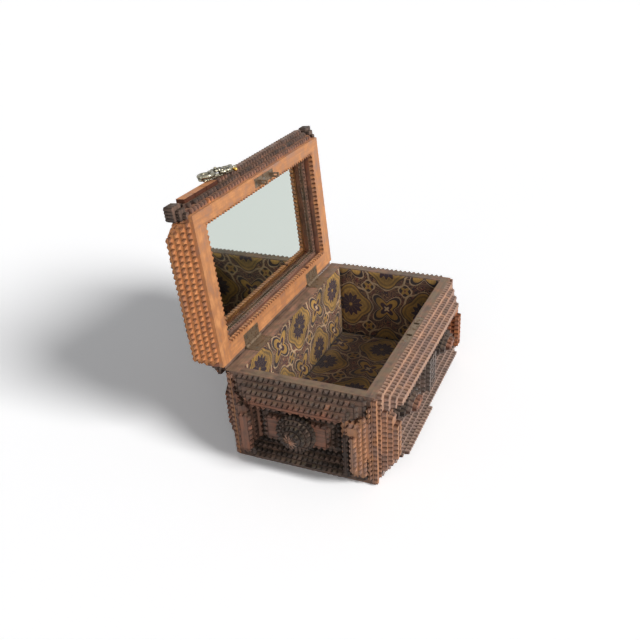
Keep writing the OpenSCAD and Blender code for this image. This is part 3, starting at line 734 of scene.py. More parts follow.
def add_plate(rims, plate, stain, depth=NOTCH, plain=None, pitch=PITCH):
    """A core board and its rows of teeth for one plate. A side that looks along plain is left uncut."""
    lift, thick, outline = plate
    out = outward(outline, lift)
    deepest = min(depth, NARROW_SHARE * np.sort(outline.max(0) - outline.min(0))[1])
    cut = np.array([plain is None or o @ np.array(plain) < ALONG for o in out])
    inner = drawn_in(outline, out, np.where(cut, deepest, 0.0))
    # Cut sides of the core are darkened, partly grime and partly painted shade; uncut sides are not
    rims.board(inner, lift, thick, stain, np.where(cut, 1.0, 0.0))
    before = np.roll(out, 1, 0)
    if (out * before).sum(1).min() > math.cos(CORNER_TURN):
        soft = (out + before) / np.linalg.norm(out + before, axis=1)[:, None]
        rims.side(inner, soft, lift, thick, deepest, stain, pitch, closed=True)
        return
    for i in np.flatnonzero(cut):
        line = np.array([inner[i], inner[(i + 1) % len(inner)]])
        rims.side(line, [out[i], out[i]], lift, thick, deepest, stain, pitch)


print("a narrow board's cuts take at most", NARROW_SHARE, "of its width")

# %% [markdown]
# The strips weren't stained alike. The ends are sooty, the posts and the lid's sides have been rubbed to
# bright cedar, and the front is streaked with red and grey. Each carved node gets a list of stains, one
# for each of its layers from the core outwards, and a little of its own by chance.

# %% Stains, tones and cuts of the carved nodes
# The way the grain runs on each node, and its stains. The two ends of the box are alike
ENDS = {"top_rail": [0.4, 0.38, 0.38, 0.52], "bottom_rail": [0.3, 0.32, 0.32, 0.34],
        "panel": [0.22, 0.28, 0.44], "boss": [0.22, 0.26, 0.26, 0.28]}
CARVED = {f"{side}_{part}": ("y", stains) for side in ("left", "right") for part, stains in ENDS.items()}
CARVED |= {
    "front_top_rail": ("x", [0.82, 0.74, 0.72, 0.74]), "front_bottom_rail": ("x", [0.64, 0.7, 0.66, 0.7]),
    "front_outer_strip": ("x", [0.74]), "corner_strips": ("z", [0.7, 0.68]),
    "front_pier": ("z", [0.42, 0.46, 0.42, 0.42]), "front_lozenges": ("x", [0.4, 0.46, 0.38, 0.48, 0.66]),
    "back_top_rail": ("x", [0.4, 0.36, 0.34, 0.42]), "back_bottom_rail": ("x", [0.36, 0.34, 0.34, 0.36]),
    "back_panel": ("x", [0.36, 0.46]),
    "post_front_left": ("z", [0.78, 0.8, 0.78, 0.8]), "post_front_right": ("z", [0.74, 0.76, 0.74, 0.74]),
    "post_back_left": ("z", [0.46, 0.5, 0.52, 0.56]), "post_back_right": ("z", [0.5, 0.52, 0.52, 0.56]),
    "lid_front_strips": ("x", [0.56, 0.36, 0.5]), "lid_back_strips": ("x", [0.44, 0.46, 0.44, 0.46]),
    "lid_left_strips": ("z", [0.92, 0.98, 0.96, 0.84]), "lid_right_strips": ("z", [0.8, 0.82, 0.78, 0.7]),
    "lid_top_panel": ("x", [0.4, 0.44, 0.48]), "lid_corner_blocks": ("z", [0.34, 0.3, 0.34]),
}
# The posts' strips that lie on the left end
END_STAINS = {"post_front_left": [0.76, 0.78, 0.74, 0.7], "post_back_left": [0.42, 0.42, 0.44, 0.44]}
# A tone below 0 greys a node, or one layer of it, and a tone above 0 reddens it
TONES = {"front_top_rail": -0.4, "front_bottom_rail": -0.55, "front_outer_strip": -0.6, "front_pier": -0.5,
         "front_lozenges": -0.4, "post_front_left": -0.15, "post_front_right": 0.5, "post_back_left": 0.3,
         "lid_front_strips": 0.3, "lid_left_strips": 0.15, "corner_strips": -0.1}
LAYER_TONES = {("left_top_rail", 3): 0.6, ("right_top_rail", 3): 0.6, ("left_panel", 2): 0.6,
               ("right_panel", 2): 0.6, ("post_back_left", 3): 0.6, ("front_lozenges", 4): 0.4}
# Rails whose layers step up to the rim, and sides that are left uncut because they meet at the hinges
RAISED = {"left_top_rail", "right_top_rail", "front_top_rail"}
PLAIN_SIDES = {"back_top_rail": (0, 0, 1), "lid_back_strips": (0, 0, -1)}
# Nodes with closer cuts, and nodes with shallower ones, which leave a ridge along the strip
FINE = {"left_boss": 3.6 * MM, "right_boss": 3.6 * MM, "lid_corner_blocks": 2.6 * MM}
POSTS = ("post_front_left", "post_front_right", "post_back_left", "post_back_right")
RIDGED = POSTS + ("lid_left_strips", "lid_right_strips", "front_top_rail", "front_bottom_rail",
                  "front_outer_strip")
DEPTHS = {"lid_corner_blocks": 0.8 * MM, "corner_strips": 0.8 * MM, **{node: 1.7 * MM for node in RIDGED}}
# Where a layer is sawn across, as shares of its length, and how many of its first pieces have no cuts
SLICES = {("post_front_left", 3): [0.5], ("post_front_right", 3): [0.5], ("front_pier", 3): [0.34, 0.67],
          ("lid_front_strips", 2): [0.07, 0.15, 0.23]}
PLAIN_SLICES = {("lid_front_strips", 2): 3}
print("carved nodes:", len(CARVED), "with", sum(len(stains) for along, stains in CARVED.values()), "stains")

# %% [markdown]
# Now each node is carved. A few strips are sawn across, as on the real box. On the ends, the inner half
# of each post's outermost strip is stained dark: painted shade, for the shaded side of the post. The top
# rails' layers step up evenly to the rim. The first layers of the posts are grown a little, so no slit
# shows beside the strips that cover the core's corners.

# %% Carve the nodes
RIM_SET = 0.2 * MM
STRIP_CHANCE = 0.05
FIRST_DEPTH, FIRST_GROWN = 1.2 * MM, 0.25 * MM
# The inner half of a post's outermost strip on the end: a dark stain and tone, painted shade
POST_SHADE_STAIN, POST_SHADE_TONE = 0.2, 0.3
PLAIN_STAIN = 0.92
SAW_GAP = 0.7 * MM
rim_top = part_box("front_board")[1][2] - RIM_SET
chance = np.random.default_rng(11)


def sliced(outline, axis, shares):
    """An outline cut across an axis at some shares of its length, with a saw's gap at each cut."""
    low, high = outline[:, axis].min(), outline[:, axis].max()
    cuts = [low + share * (high - low) for share in shares]
    for first, last in zip([low - SAW_GAP] + cuts, cuts + [high + SAW_GAP]):
        part = outline
        for place, sign in ((first + SAW_GAP / 2, 1), (last - SAW_GAP / 2, -1)):
            side = sign * (part[:, axis] - place)
            points = []
            for i in range(len(part)):
                j = (i + 1) % len(part)
                if side[i] >= 0:
                    points.append(part[i])
                if side[i] * side[j] < 0:
                    points.append(part[i] + (part[j] - part[i]) * side[i] / (side[i] - side[j]))
            part = np.array(points)
        yield straightened(part)


def base_height(lift, outline):
    """How far out a plate's base stands, to 0.1 mm."""
    return round(abs(float(outline[0] @ lift)), 4)


def carve_node(node, number):
    along, stains = CARVED[node]
    thin = 2 if node == "lid_corner_blocks" else None
    found = [plate_of(f, thin) for f in islands_of(node)]
    last_top = min(o[:, 2].max() for l, t, o in found)
    rims = Rims()
    for lift, thick, outline in found:
        on_end = abs(lift[0]) > ALONG
        across = 1 if on_end else 0
        heights = sorted({base_height(l, o) for l, t, o in found if abs(l @ lift) > ALONG})
        level = heights.index(base_height(lift, outline))
        if node in RAISED:
            even = rim_top + (last_top - rim_top) * level / (len(heights) - 1)
            outline[outline[:, 2] > outline[:, 2].max() - MM, 2] = even
        rims.tone = LAYER_TONES.get((node, level), TONES.get(node, 0.0))
        layers = END_STAINS.get(node, stains) if on_end else stains
        stain = layers[level] + chance.uniform(-STRIP_CHANCE, STRIP_CHANCE)
        depth = DEPTHS.get(node, NOTCH)
        if node in POSTS and level == 0:
            spread = outline[:, across]
            spread[abs(spread) > abs(spread).max() - MERGE] += np.sign(spread[0]) * FIRST_GROWN
            depth = FIRST_DEPTH
        for place, part in enumerate(sliced(outline, across, SLICES.get((node, level), []))):
            if place < PLAIN_SLICES.get((node, level), 0):
                rims.board(part, lift, thick, PLAIN_STAIN)
                continue
            # The inner half of the post's outermost strip on the end is stained dark as painted shade
            if place == 1 and on_end and node in POSTS:
                stain, rims.tone = POST_SHADE_STAIN, POST_SHADE_TONE
            add_plate(rims, (lift, thick, part), stain, depth, PLAIN_SIDES.get(node), FINE.get(node, PITCH))
    body = "lid" if node in lid_nodes else "case"
    piece = rims.carve("carved_" + node, carved_wood[along], body, seed=number)
    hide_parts(node)
    return len(piece.data.polygons)


faces = {node: carve_node(node, number) for number, node in enumerate(CARVED)}
print("faces on the carved pieces:", sum(faces.values()), "most:", max(faces.values()))

# %% [markdown]
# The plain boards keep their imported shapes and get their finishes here.

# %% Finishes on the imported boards
def finish_nodes(material, *nodes):
    for node in nodes:
        frame["nodes"][node].data.materials.clear()
        frame["nodes"][node].data.materials.append(material)


finish_nodes(rim_wood["x"], "front_board")
finish_nodes(back_rim_wood, "back_board")
finish_nodes(rim_wood["y"], "left_board", "right_board")
finish_nodes(under_wood, "bottom_board")
finish_nodes(inner_wood["x"], "lid_front_rail", "lid_back_rail", "lid_panel")
finish_nodes(bead_wood, "mirror_beads")
finish_nodes(inner_wood["z"], "lid_left_rail", "lid_right_rail")
finish_nodes(cedar["x"], "frame_front", "frame_back")
finish_nodes(cedar["z"], "frame_left", "frame_right")
print("finished boards")

# %% [markdown]
# Behind the rim, between and beside the hinges, a thin strip fills the slot under the open lid, and a lip
# on the lid's back edge closes what is left of it. The strip stays in front of the hinge's axis, where the
# lid never comes, and the lip passes over it.

# %% Strips in the hinge's slot
SLOT_ROOM = 0.4 * MM
STRIP_TALL = 3.2 * MM
LIP_DEEP = 3.9 * MM
LIP_CLEAR = 0.8 * MM
SLOT_STAIN = 0.4
DOWN = np.array((0.0, 0.0, -1.0))


def corners_of(solids):
    """All corners of some solids' faces."""
    return np.array([p for solid in solids for face in solid for p in face])


def slot_strip(name, body, ends, near, far, top, tall):
    """Three plain lengths along the hinge, with the hinges' own places left free."""
    places = [ends[0]] + hinge_ends + [ends[1]]
    rims = Rims()
    for i in range(3):
        first = places[2 * i] + (SLOT_ROOM if i > 0 else 0)
        last = places[2 * i + 1] - (SLOT_ROOM if i < 2 else 0)
        corners = np.array([(first, far, top), (last, far, top), (last, near, top), (first, near, top)])
        rims.board(corners, DOWN, tall, SLOT_STAIN)
    return rims.carve(name, carved_wood["x"], body)


knuckles = corners_of(islands_of("hinge_box_leaves"))[:, 0]
hinge_ends = [knuckles.min(), knuckles[knuckles < 0].max(), knuckles[knuckles > 0].min(), knuckles.max()]
core_low, core_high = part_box("back_board")
slot_strip("back_rim_strip", "case", (core_low[0], core_high[0]), core_high[1], PIVOT.y - SLOT_ROOM,
           core_high[2] - RIM_SET, STRIP_TALL)
edge = corners_of(islands_of("lid_back_strips")[:1])
lip_low, lip_high = edge.min(0), edge.max(0)
slot_strip("lid_back_lip", "lid", (lip_low[0], lip_high[0]), lip_low[1], lip_low[1] + LIP_DEEP, lip_low[2],
           lip_low[2] - PIVOT.z - LIP_CLEAR)
print("hinges leave free, mm:", in_mm(hinge_ends))

# %% [markdown]
# The cedar frame on the underside of the lid is notched along its inner edge, and so is the bead that
# holds the mirror. Both are openings with four sides, so the same tree sets teeth along them, pointing
# into the opening. Behind the frame's teeth stands a thin skin with dark sides, painted shade in the gaps
# between them. The frame's boards keep their imported shape, with its pockets for hinges and link plate.

# %% Notched inner edges of the lid's frame and of the mirror's bead
# Thickness of the thin skin behind the frame's teeth, whose dark sides are painted shade
SHADE_LINER = 0.15 * MM
OPENING_TONE = 0.2
OPENING_LOST = 0.004
FRAME_CUTS = {"deep": 2.0 * MM, "stain": 0.86, "seed": 61, "pitch": 4.6 * MM, "liner": 0.9}
BEAD_CUTS = {"deep": 1.0 * MM, "stain": 0.56, "seed": 62, "pitch": 4.0 * MM}
BEAD_TEETH = 1.5 * MM


def closed_steps(node):
    """The different X, Y and Z places of a lid node's corners, in order, with the lid closed."""
    return [np.unique(column.round(6)) for column in corners_of(islands_of(node)).T]


def notch_opening(name, low, high, thick, material, deep, stain, seed, pitch, liner=None):
    """Teeth round a rectangular opening, from its low and high corners on the far face, looking down. A
    shade liner is the stain of a thin skin behind the teeth, whose sides are darkened as painted shade
    between the teeth."""
    rims = Rims(OPENING_TONE)
    corners = [(low[0], low[1]), (high[0], low[1]), (high[0], high[1]), (low[0], high[1])]
    for (x0, y0), (x1, y1) in zip(corners, corners[1:] + corners[:1]):
        line = np.array([(x0, y0, high[2]), (x1, y1, high[2])])
        out = np.cross(DOWN, (line[1] - line[0]) / np.linalg.norm(line[1] - line[0]))
        rims.side(line, [-out, -out], DOWN, thick, deep, stain, pitch)
        if liner is not None:
            skin = np.array([line[0], line[1], line[1] - SHADE_LINER * out, line[0] - SHADE_LINER * out])
            rims.board(skin[::-1], DOWN, thick, liner)
    return rims.carve(name, material, "lid", seed=seed, lost=OPENING_LOST)


left_x, _, frame_z = closed_steps("frame_left")
right_x = closed_steps("frame_right")[0]
front_y, back_y = (closed_steps(node)[1] for node in ("frame_front", "frame_back"))
frame_notches = notch_opening("frame_notches", (left_x[-1], front_y[-1]),
                              (right_x[0], back_y[0], frame_z[-1]), frame_z[-1] - frame_z[0],
                              carved_wood["x"], **FRAME_CUTS)
bead_x, bead_y, bead_z = closed_steps("mirror_beads")
bead_notches = notch_opening("bead_notches", (bead_x[1], bead_y[1]),
                             (bead_x[-2], bead_y[-2], bead_z[0] + BEAD_TEETH), BEAD_TEETH, cut_bead_wood,
                             **BEAD_CUTS)
print("frame and bead teeth, faces:", len(frame_notches.data.polygons), len(bead_notches.data.polygons))

# %% [markdown]
# The lining is printed cotton, stretched over cards. The print repeats: lobed gold medallions with a plum
# flower, outlined four-petal flowers, and small ringed rosettes on a scrolled ground. Each motif is a
# lobed shape about the points of a lattice, so one group measures how far a point lies from such a shape.

# %% Shader group for the printed motifs
def motif_group():
    wire, source, result = group_tree(
        "lattice motif",
        [("Place", "p", None), ("Cell", "p", (0.06, 0.06, 1)), ("Offset", "p", (0, 0, 0)),
         ("Radius", "v", 0.01), ("Lobes", "v", 4.0), ("Lobe depth", "v", 0.2), ("Turn", "v", 0.0)],
        [("Level", "v"), ("Ray", "v")])
    half, minus = (wire.vector("SCALE", source["Cell"], Scale=share) for share in (0.5, -0.5))
    moved = wire.vector("SUBTRACT", source["Place"], source["Offset"])
    spot = wire.parts(wire.vector("WRAP", moved, half, minus))
    flat = wire.out("ShaderNodeCombineXYZ", X=spot[0], Y=spot[1])
    angle = wire.math("ADD", wire.math("ARCTAN2", spot[1], spot[0]), source["Turn"])
    ray = wire.math("COSINE", wire.math("MULTIPLY", angle, source["Lobes"]))
    edge = wire.math("ADD", 1.0, wire.math("MULTIPLY", ray, source["Lobe depth"]))
    edge = wire.math("MULTIPLY", edge, source["Radius"])
    wire.feed(result["Level"], wire.math("DIVIDE", wire.vector("LENGTH", flat), edge))
    wire.feed(result["Ray"], ray)
    return wire.tree


MOTIF = motif_group()
print("print group:", MOTIF.name)

# %% [markdown]
# The print itself is a table. Each motif has its radius, its lobes, their depth and its turn, and then its
# inks in the order they are printed: a fill inside a level of the motif, with a soft edge, a line along a
# level, with a width, or veins between the lobes. Over the print come soil, painted light and shade that
# differs from panel to panel, slubs and the weave.

# %% Inks and motifs of the print
CELL = (0.086, 0.1, 1.0)
PRINT = {"ground": colour(84, 52, 44), "scroll": colour(146, 112, 76), "gold": colour(168, 128, 62),
         "olive": colour(124, 96, 50), "plum": colour(44, 14, 34), "pale": colour(188, 158, 122),
         "ink": colour(36, 20, 28), "rust": colour(112, 54, 46)}
EDGE = 0.035
DIAGONAL = math.pi / 4
MEDALLION = [((0.0252, 8.0, 0.05, 0.0), [("line", 1.0, 0.028, "pale")]),
             ((0.022, 4.0, 0.13, 0.0), [("fill", 1.06, EDGE, "ink"), ("fill", 1.0, EDGE, "gold"),
                                        ("line", 0.86, 0.035, "olive"), ("fill", 0.66, 0.12, "olive")]),
             ((0.0125, 12.0, 0.15, 0.0), [("fill", 1.12, EDGE, "gold"), ("fill", 1.0, EDGE, "plum"),
                                          ("vein", 0.55, 0.3, "olive"), ("fill", 0.16, EDGE, "gold")])]
FLOWER = [((0.0135, 4.0, 0.42, DIAGONAL), [("fill", 1.16, EDGE, "pale"), ("fill", 1.08, EDGE, "ink"),
                                           ("fill", 0.86, EDGE, "gold"), ("fill", 0.5, EDGE, "plum"),
                                           ("fill", 0.2, EDGE, "pale")])]
ROSETTE = [((0.0068, 4.0, 0.1, 0.0), [("line", 1.0, 0.09, "pale"), ("fill", 0.86, EDGE, "ink")]),
           ((0.0042, 4.0, 0.36, DIAGONAL), [("fill", 1.0, EDGE, "gold"), ("fill", 0.3, EDGE, "rust")])]
LATTICE = [([(0, 0), (0.5, 0.5)], MEDALLION), ([(0.5, 0), (0, 0.5)], FLOWER),
           ([(0.25, 0.25), (0.75, 0.25), (0.25, 0.75), (0.75, 0.75)], ROSETTE)]
print("motifs in a cell of the print:", sum(len(shares) for shares, motifs in LATTICE))

# %% Printed cloth
SCROLLS = [(0.3, 0.12, "ink"), (0.62, 0.1, "scroll")]
SCROLL_TURNS, SCROLL_SOFT, LINE_SOFT = 6.0, 0.06, 0.03
SHAKE = 0.0016
THREAD = 0.0007
WEAVE_BUMP, WEAVE_DEEP = 0.35, 0.0003


def line_mask(wire, level, at, wide, soft=LINE_SOFT):
    """1 on a line along a level."""
    gap = wire.math("ABSOLUTE", wire.math("SUBTRACT", level, at))
    return wire.step(gap, wide, wide + soft, 1.0, 0.0)


def ink_mask(wire, motif, kind, at, wide):
    """1 where one ink of a motif is printed."""
    if kind == "fill":
        return wire.step(motif["Level"], at - wide, at + wide, 1.0, 0.0)
    line = line_mask(wire, motif["Level"], at, wide)
    if kind == "line":
        return line
    return wire.math("MULTIPLY", wire.step(motif["Ray"], -0.99, -0.9, 1.0, 0.0), line)


def printed_ground(wire, place):
    """Two browns in blots, with scrolls of ink drawn over them."""
    blots = wire.step(wire.noise(place, 170.0, 2.0), 0.5, 0.58)
    paint = wire.mix(blots, PRINT["ground"], PRINT["rust"])
    swirl = wire.noise(place, 105.0, 0.0, Distortion=1.6)
    turns = wire.math("FRACT", wire.math("MULTIPLY", swirl, SCROLL_TURNS))
    for at, wide, ink in SCROLLS:
        paint = wire.mix(line_mask(wire, turns, at, wide, SCROLL_SOFT), paint, PRINT[ink])
    return paint


def printed_cloth():
    material, wire, shader = new_material("printed cotton")
    place = wire.out("ShaderNodeUVMap", {"uv_map": "cloth"})
    wobble = wire.add("ShaderNodeTexNoise", Vector=place, Scale=160.0, Detail=2.0).outputs["Color"]
    shake = wire.vector("SCALE", wire.vector("SUBTRACT", wobble, (0.5, 0.5, 0.5)), Scale=SHAKE)
    shaken = wire.vector("ADD", place, shake)
    paint = printed_ground(wire, place)
    for shares, motifs in LATTICE:
        for x, y in shares:
            for (radius, lobes, depth, turn), inks in motifs:
                motif = wire.group(MOTIF, Place=shaken, Cell=CELL, Offset=(x * CELL[0], y * CELL[1], 0),
                                   Radius=radius, Lobes=lobes, Lobe_depth=depth, Turn=turn)
                for kind, at, wide, ink in inks:
                    paint = wire.mix(ink_mask(wire, motif, kind, at, wide), paint, PRINT[ink])
    soil = wire.step(wire.noise(place, 28.0, 5.0), 0.35, 0.68, 0.6, 1.15)
    slub = wire.noise(wire.vector("MULTIPLY", place, (1.0, 0.25, 1.0)), 900.0, 2.0)
    # Soil, then each panel's painted light and shade
    shade = wire.math("MULTIPLY", soil, wire.attribute("fade"))
    shade = wire.math("MULTIPLY", shade, wire.step(slub, 0.3, 0.7, 0.8, 1.15))
    grey = wire.out("ShaderNodeCombineColor", n0=shade, n1=shade, n2=shade)
    wire.feed(shader["Base Color"], wire.mix(1.0, paint, grey, "MULTIPLY"))
    wire.feed(shader["Roughness"], 0.85)
    wire.feed(shader["Sheen Weight"], 0.15)
    warp, weft = (wire.math("SINE", wire.math("MULTIPLY", c, 2 * math.pi / THREAD))
                  for c in wire.parts(place)[:2])
    wire.feed(shader["Normal"], wire.bump(WEAVE_BUMP, WEAVE_DEEP, wire.math("MULTIPLY", warp, weft)))
    return material


cotton = printed_cloth()
print("cloth nodes:", len(cotton.node_tree.nodes))

# %% [markdown]
# Each lining panel is a card with the cloth drawn over it. The cloth isn't quite flat: it puckers a
# little where the glue has let go, and turns over the card's edges. A grid with small waves shows that,
# where a plain box would not.

# %% Lining panels
CLOTH_STEP = 3.5 * MM
PUCKER, WAVE_MOST = 0.22 * MM, 1.6
EDGE_TURN, EDGE_SINK = 1.6 * MM, 0.5 * MM
PRINT_SHIFT = (0.021, 0.013)
# A panel's two axes in its plane, the axis through it, the way its cloth faces, and the board behind it
PANELS = {"lining_floor": (0, 1, 2, 1, "bottom_board"), "lining_front": (0, 2, 1, 1, "front_board"),
          "lining_back": (0, 2, 1, -1, "back_board"), "lining_left": (1, 2, 0, 1, "left_board"),
          "lining_right": (1, 2, 0, -1, "right_board")}
# Painted light and shade for each panel: the back faces the lamp and is painted lighter, the floor and the right
# end are painted darker, as shade
PANEL_LIGHT_AND_SHADE = {"lining_back": 1.18, "lining_right": 0.78, "lining_floor": 0.78}


def face_outwards(mesh):
    """Turns a closed mesh's faces outwards."""
    shape = bmesh.new()
    shape.from_mesh(mesh)
    bmesh.ops.recalc_face_normals(shape, faces=shape.faces)
    shape.to_mesh(mesh)
    shape.free()


def pucker(u, v, number):
    """Small waves over a panel, different on each, that stay between -WAVE_MOST and WAVE_MOST."""
    crossed = np.sin(210 * u + 3 * number) * np.sin(170 * v + number)
    return crossed + 0.6 * np.sin(95 * u - 140 * v + 2 * number)


def lining_panel(node, number):
    """A cloth-covered card in the place of a lining node."""
    wide, tall, axis, sign, board = PANELS[node]
    low, high = (np.array(c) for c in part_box(node))
    counts = [max(4, round((high[i] - low[i]) / CLOTH_STEP)) for i in (wide, tall)]
    us, vs = (np.linspace(low[i], high[i], n + 1) for i, n in zip((wide, tall), counts))
    u, v = np.meshgrid(us, vs, indexing="ij")
    face, back = (high[axis], low[axis]) if sign > 0 else (low[axis], high[axis])
    edge = np.minimum.reduce([u - us[0], us[-1] - u, v - vs[0], vs[-1] - v])
    near = np.clip(1 - edge / EDGE_TURN, 0, 1)
    sink = PUCKER * (1 + pucker(u, v, number) / WAVE_MOST) * (1 - near) + EDGE_SINK * near ** 2
    cloth = np.zeros(u.shape + (3,))
    cloth[..., wide], cloth[..., tall], cloth[..., axis] = u, v, face - sign * sink
    cloth = cloth.reshape(-1, 3)
    index = np.arange(u.size).reshape(u.shape)
    quads = np.stack([index[:-1, :-1], index[1:, :-1], index[1:, 1:], index[:-1, 1:]], -1)
    rim = np.concatenate([index[:-1, 0], index[-1, :-1], index[:0:-1, -1], index[0, :0:-1]])
    behind = cloth[rim].copy()
    behind[:, axis] = back
    below = u.size + np.arange(len(rim))
    sides = np.stack([np.roll(rim, -1), rim, below, np.roll(below, -1)], -1)
    points = np.concatenate([cloth, behind])
    shown = quads.reshape(-1, 4).tolist() + sides.tolist() + [below[::-1].tolist()]
    mesh = bpy.data.meshes.new("cloth_" + node)
    mesh.from_pydata(points.tolist(), [], shown)
    face_outwards(mesh)
    layer = mesh.uv_layers.new(name="cloth")
    spots = points[:, [wide, tall]] - ((low + high) / 2)[[wide, tall]] + number * np.array(PRINT_SHIFT)
    for loop in mesh.loops:
        layer.data[loop.index].uv = spots[loop.vertex_index]
    # Each panel's painted light and shade, as one value on its faces
    fade = [PANEL_LIGHT_AND_SHADE.get(node, 1.0)] * len(mesh.polygons)
    mesh.attributes.new("fade", "FLOAT", "FACE").data.foreach_set("value", fade)
    mesh.materials.append(cotton)
    mesh.shade_smooth()
    piece = riding("cloth_" + node, mesh, "case")
    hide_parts(node)
    flat = (float(high[wide] - low[wide]), float(high[tall] - low[tall]))
    return flat


flats = {node: lining_panel(node, number) for number, node in enumerate(PANELS)}
print("cloth cut to, mm:", {node: in_mm(flat) for node, flat in flats.items()})

# %% [markdown]
# The mirror is old silvered glass, greenish and a little foxed, so it is a metal with a soft tint and a
# few dark spots. The hinges and the lock plate are dull iron with a bloom of rust; the lock's case and
# bolt behind the plate's slots are a near-black iron, painted shade. The ornament is a cast white metal,
# dark in its hollows. Rust and tarnish are both blotches, so one group makes both.

# %% Mirror and metals
MIRROR_LEAN = math.radians(3.7)
GRIT_DEEP = 0.0003


def blotch_group():
    wire, source, result = group_tree(
        "blotches", [("Vector", "p", None), ("Scale", "v", 300.0), ("Share", "v", 0.5)],
        [("Mask", "v"), ("Grit", "v")])
    cloud = wire.noise(source["Vector"], source["Scale"], 6.0, Roughness=0.7)
    level = wire.math("SUBTRACT", 0.72, wire.math("MULTIPLY", source["Share"], 0.4))
    wire.feed(result["Mask"], wire.step(cloud, level, wire.math("ADD", level, 0.12)))
    wire.feed(result["Grit"], cloud)
    return wire.tree


BLOTCH = blotch_group()


def metal(name, clean, stained, share, scale, rough, metallic=1.0, bump=0.2):
    """A metal with blotches of rust or tarnish. Rough is its roughness where clean and where stained."""
    material, wire, shader = new_material(name)
    place = wire.add("ShaderNodeTexCoord").outputs["Object"]
    spots = wire.group(BLOTCH, Vector=place, Scale=scale, Share=share)
    wire.feed(shader["Base Color"], wire.mix(spots["Mask"], colour(*clean), colour(*stained)))
    wire.feed(shader["Roughness"], wire.step(spots["Mask"], 0.0, 1.0, *rough))
    wire.feed(shader["Metallic"], metallic)
    if bump:
        wire.feed(shader["Normal"], wire.bump(bump, GRIT_DEEP, spots["Grit"]))
    return material


def old_mirror():
    """Silvered glass that leans in its rebate by a small angle, so it reflects a little lower."""
    material = metal("old silvered mirror", (206, 214, 207), (150, 152, 142), 0.1, 60.0, (0.03, 0.12), bump=0)
    wire = Wires(material.node_tree)
    out, up = (to_open.to_3x3() @ Vector(v) for v in ((0, 0, -1), (0, -1, 0)))
    facing = (out - math.tan(MIRROR_LEAN) * up).normalized()
    settings = {"vector_type": "NORMAL", "convert_from": "OBJECT", "convert_to": "WORLD"}
    turned = wire.out("ShaderNodeVectorTransform", settings, Vector=facing)
    wire.feed(wire.tree.nodes["Principled BSDF"].inputs["Normal"], turned)
    return material


iron = metal("rusty iron", (126, 108, 88), (100, 78, 58), 0.55, 260.0, (0.5, 0.8), metallic=0.6)
# Near-black iron, painted shade for the inside of the lock seen through the slots
shade_dark_iron = metal("near-black shade iron", (52, 44, 38), (34, 28, 24), 0.55, 260.0, (0.6, 0.85), metallic=0.5)
pin_steel = metal("worn pin steel", (130, 122, 112), (86, 66, 52), 0.4, 500.0, (0.4, 0.75), metallic=0.85)
finish_nodes(old_mirror(), "mirror_glass")
finish_nodes(iron, "lock_plate", "hinge_box_leaves", "hinge_lid_leaves", "link_plate")
# The lock's case and bolt are painted dark as shade
finish_nodes(shade_dark_iron, "lock_case", "lock_bolt")
finish_nodes(pin_steel, "hinge_pins", "lock_screws", "hinge_box_screws", "hinge_lid_screws", "link_screws")
print("materials so far:", len(bpy.data.materials))

# %% [markdown]
# The ornament on the lid's front edge is a small openwork casting: a ring at one end, a rosette, leaves
# and a scroll at the other, with a brass drop below it. It is put together from rings, tapered scrolls
# and beads on a common ground, and a remesh melts them into one skin, as a casting is. Its hollows are
# dark with old polish, which the shader takes from the curvature of the skin.

# %% Shape of the cast ornament
# A scroll's centre, first angle, turns, radius, how much it shrinks, height, and its first and last thickness
SCROLL_LINES = [((-11.2, 0.4), 0.0, 1.0, 5.2, 0.0, 3.6, 1.5, 1.5),
                ((8.6, 0.2), 2.6, 1.5, 5.0, 0.7, 3.0, 1.6, 1.0),
                ((2.6, -3.4), 0.6, 1.2, 3.4, 0.7, 3.2, 1.2, 0.8),
                ((-3.4, 3.6), 3.6, 1.2, 3.2, 0.7, 3.4, 1.2, 0.8)]
SCROLL_POINTS, SCROLL_RISE = 30, 1.2
LEAVES = [((14.6, 2.8, 3.4), (3.6, 1.3, 1.2)), ((15.4, -1.6, 3.0), (2.6, 1.4, 1.3)),
          ((5.4, 4.6, 3.8), (3.4, 1.2, 1.3)), ((-6.0, -4.6, 3.2), (3.0, 1.4, 1.3)),
          ((-16.6, 0.6, 2.6), (1.6, 2.4, 1.6)), ((1.6, 5.4, 3.2), (1.5, 1.8, 1.4))]
ROSE, ROSE_REACH, PETALS = (-1.4, 0.4), 2.6, 6
GROUND_HALF, GROUND_BEADS = 13.5, 13
DROP = [((12.4, -5.2, 2.4), (1.5, 2.2, 1.5)), ((12.4, -3.4, 2.6), (0.9, 1.4, 0.9))]


def cast_beads():
    """The balls that the casting is melted from: place and size, in the ornament's own frame."""
    beads = []
    share = np.linspace(0, 1, SCROLL_POINTS)
    for centre, start, turns, radius, shrink, height, first, last in SCROLL_LINES:
        angle = start + turns * 2 * math.pi * share
        reach = radius * (1 - shrink * share)
        x, y = centre[0] + reach * np.cos(angle), centre[1] + reach * np.sin(angle)
        for i, at in enumerate(np.stack([x, y, height + SCROLL_RISE * share], 1)):
            thick = first + (last - first) * i / SCROLL_POINTS
            beads.append((at, (thick, thick, thick)))
    for k in range(PETALS):
        turn = k * 2 * math.pi / PETALS
        at = (ROSE[0] + ROSE_REACH * math.cos(turn), ROSE[1] + ROSE_REACH * math.sin(turn), 5.0)
        beads.append((at, (1.5, 1.5, 1.3)))
    beads.append(((*ROSE, 6.2), (1.5, 1.5, 1.5)))
    beads += LEAVES
    for x in np.linspace(-GROUND_HALF, GROUND_HALF, GROUND_BEADS):
        beads.append(((float(x), 0.0, 1.1), (2.0, 2.3, 1.1)))
    return beads


print("beads in the casting:", len(cast_beads()))

# %% Cast ornament
ORNAMENT_TIP = math.radians(-14)
ORNAMENT_SCALE = 1.2 * MM
CAST_VOXEL, DROP_VOXEL = 0.42, 0.35
HOLLOW, RIDGE = 0.485, 0.56


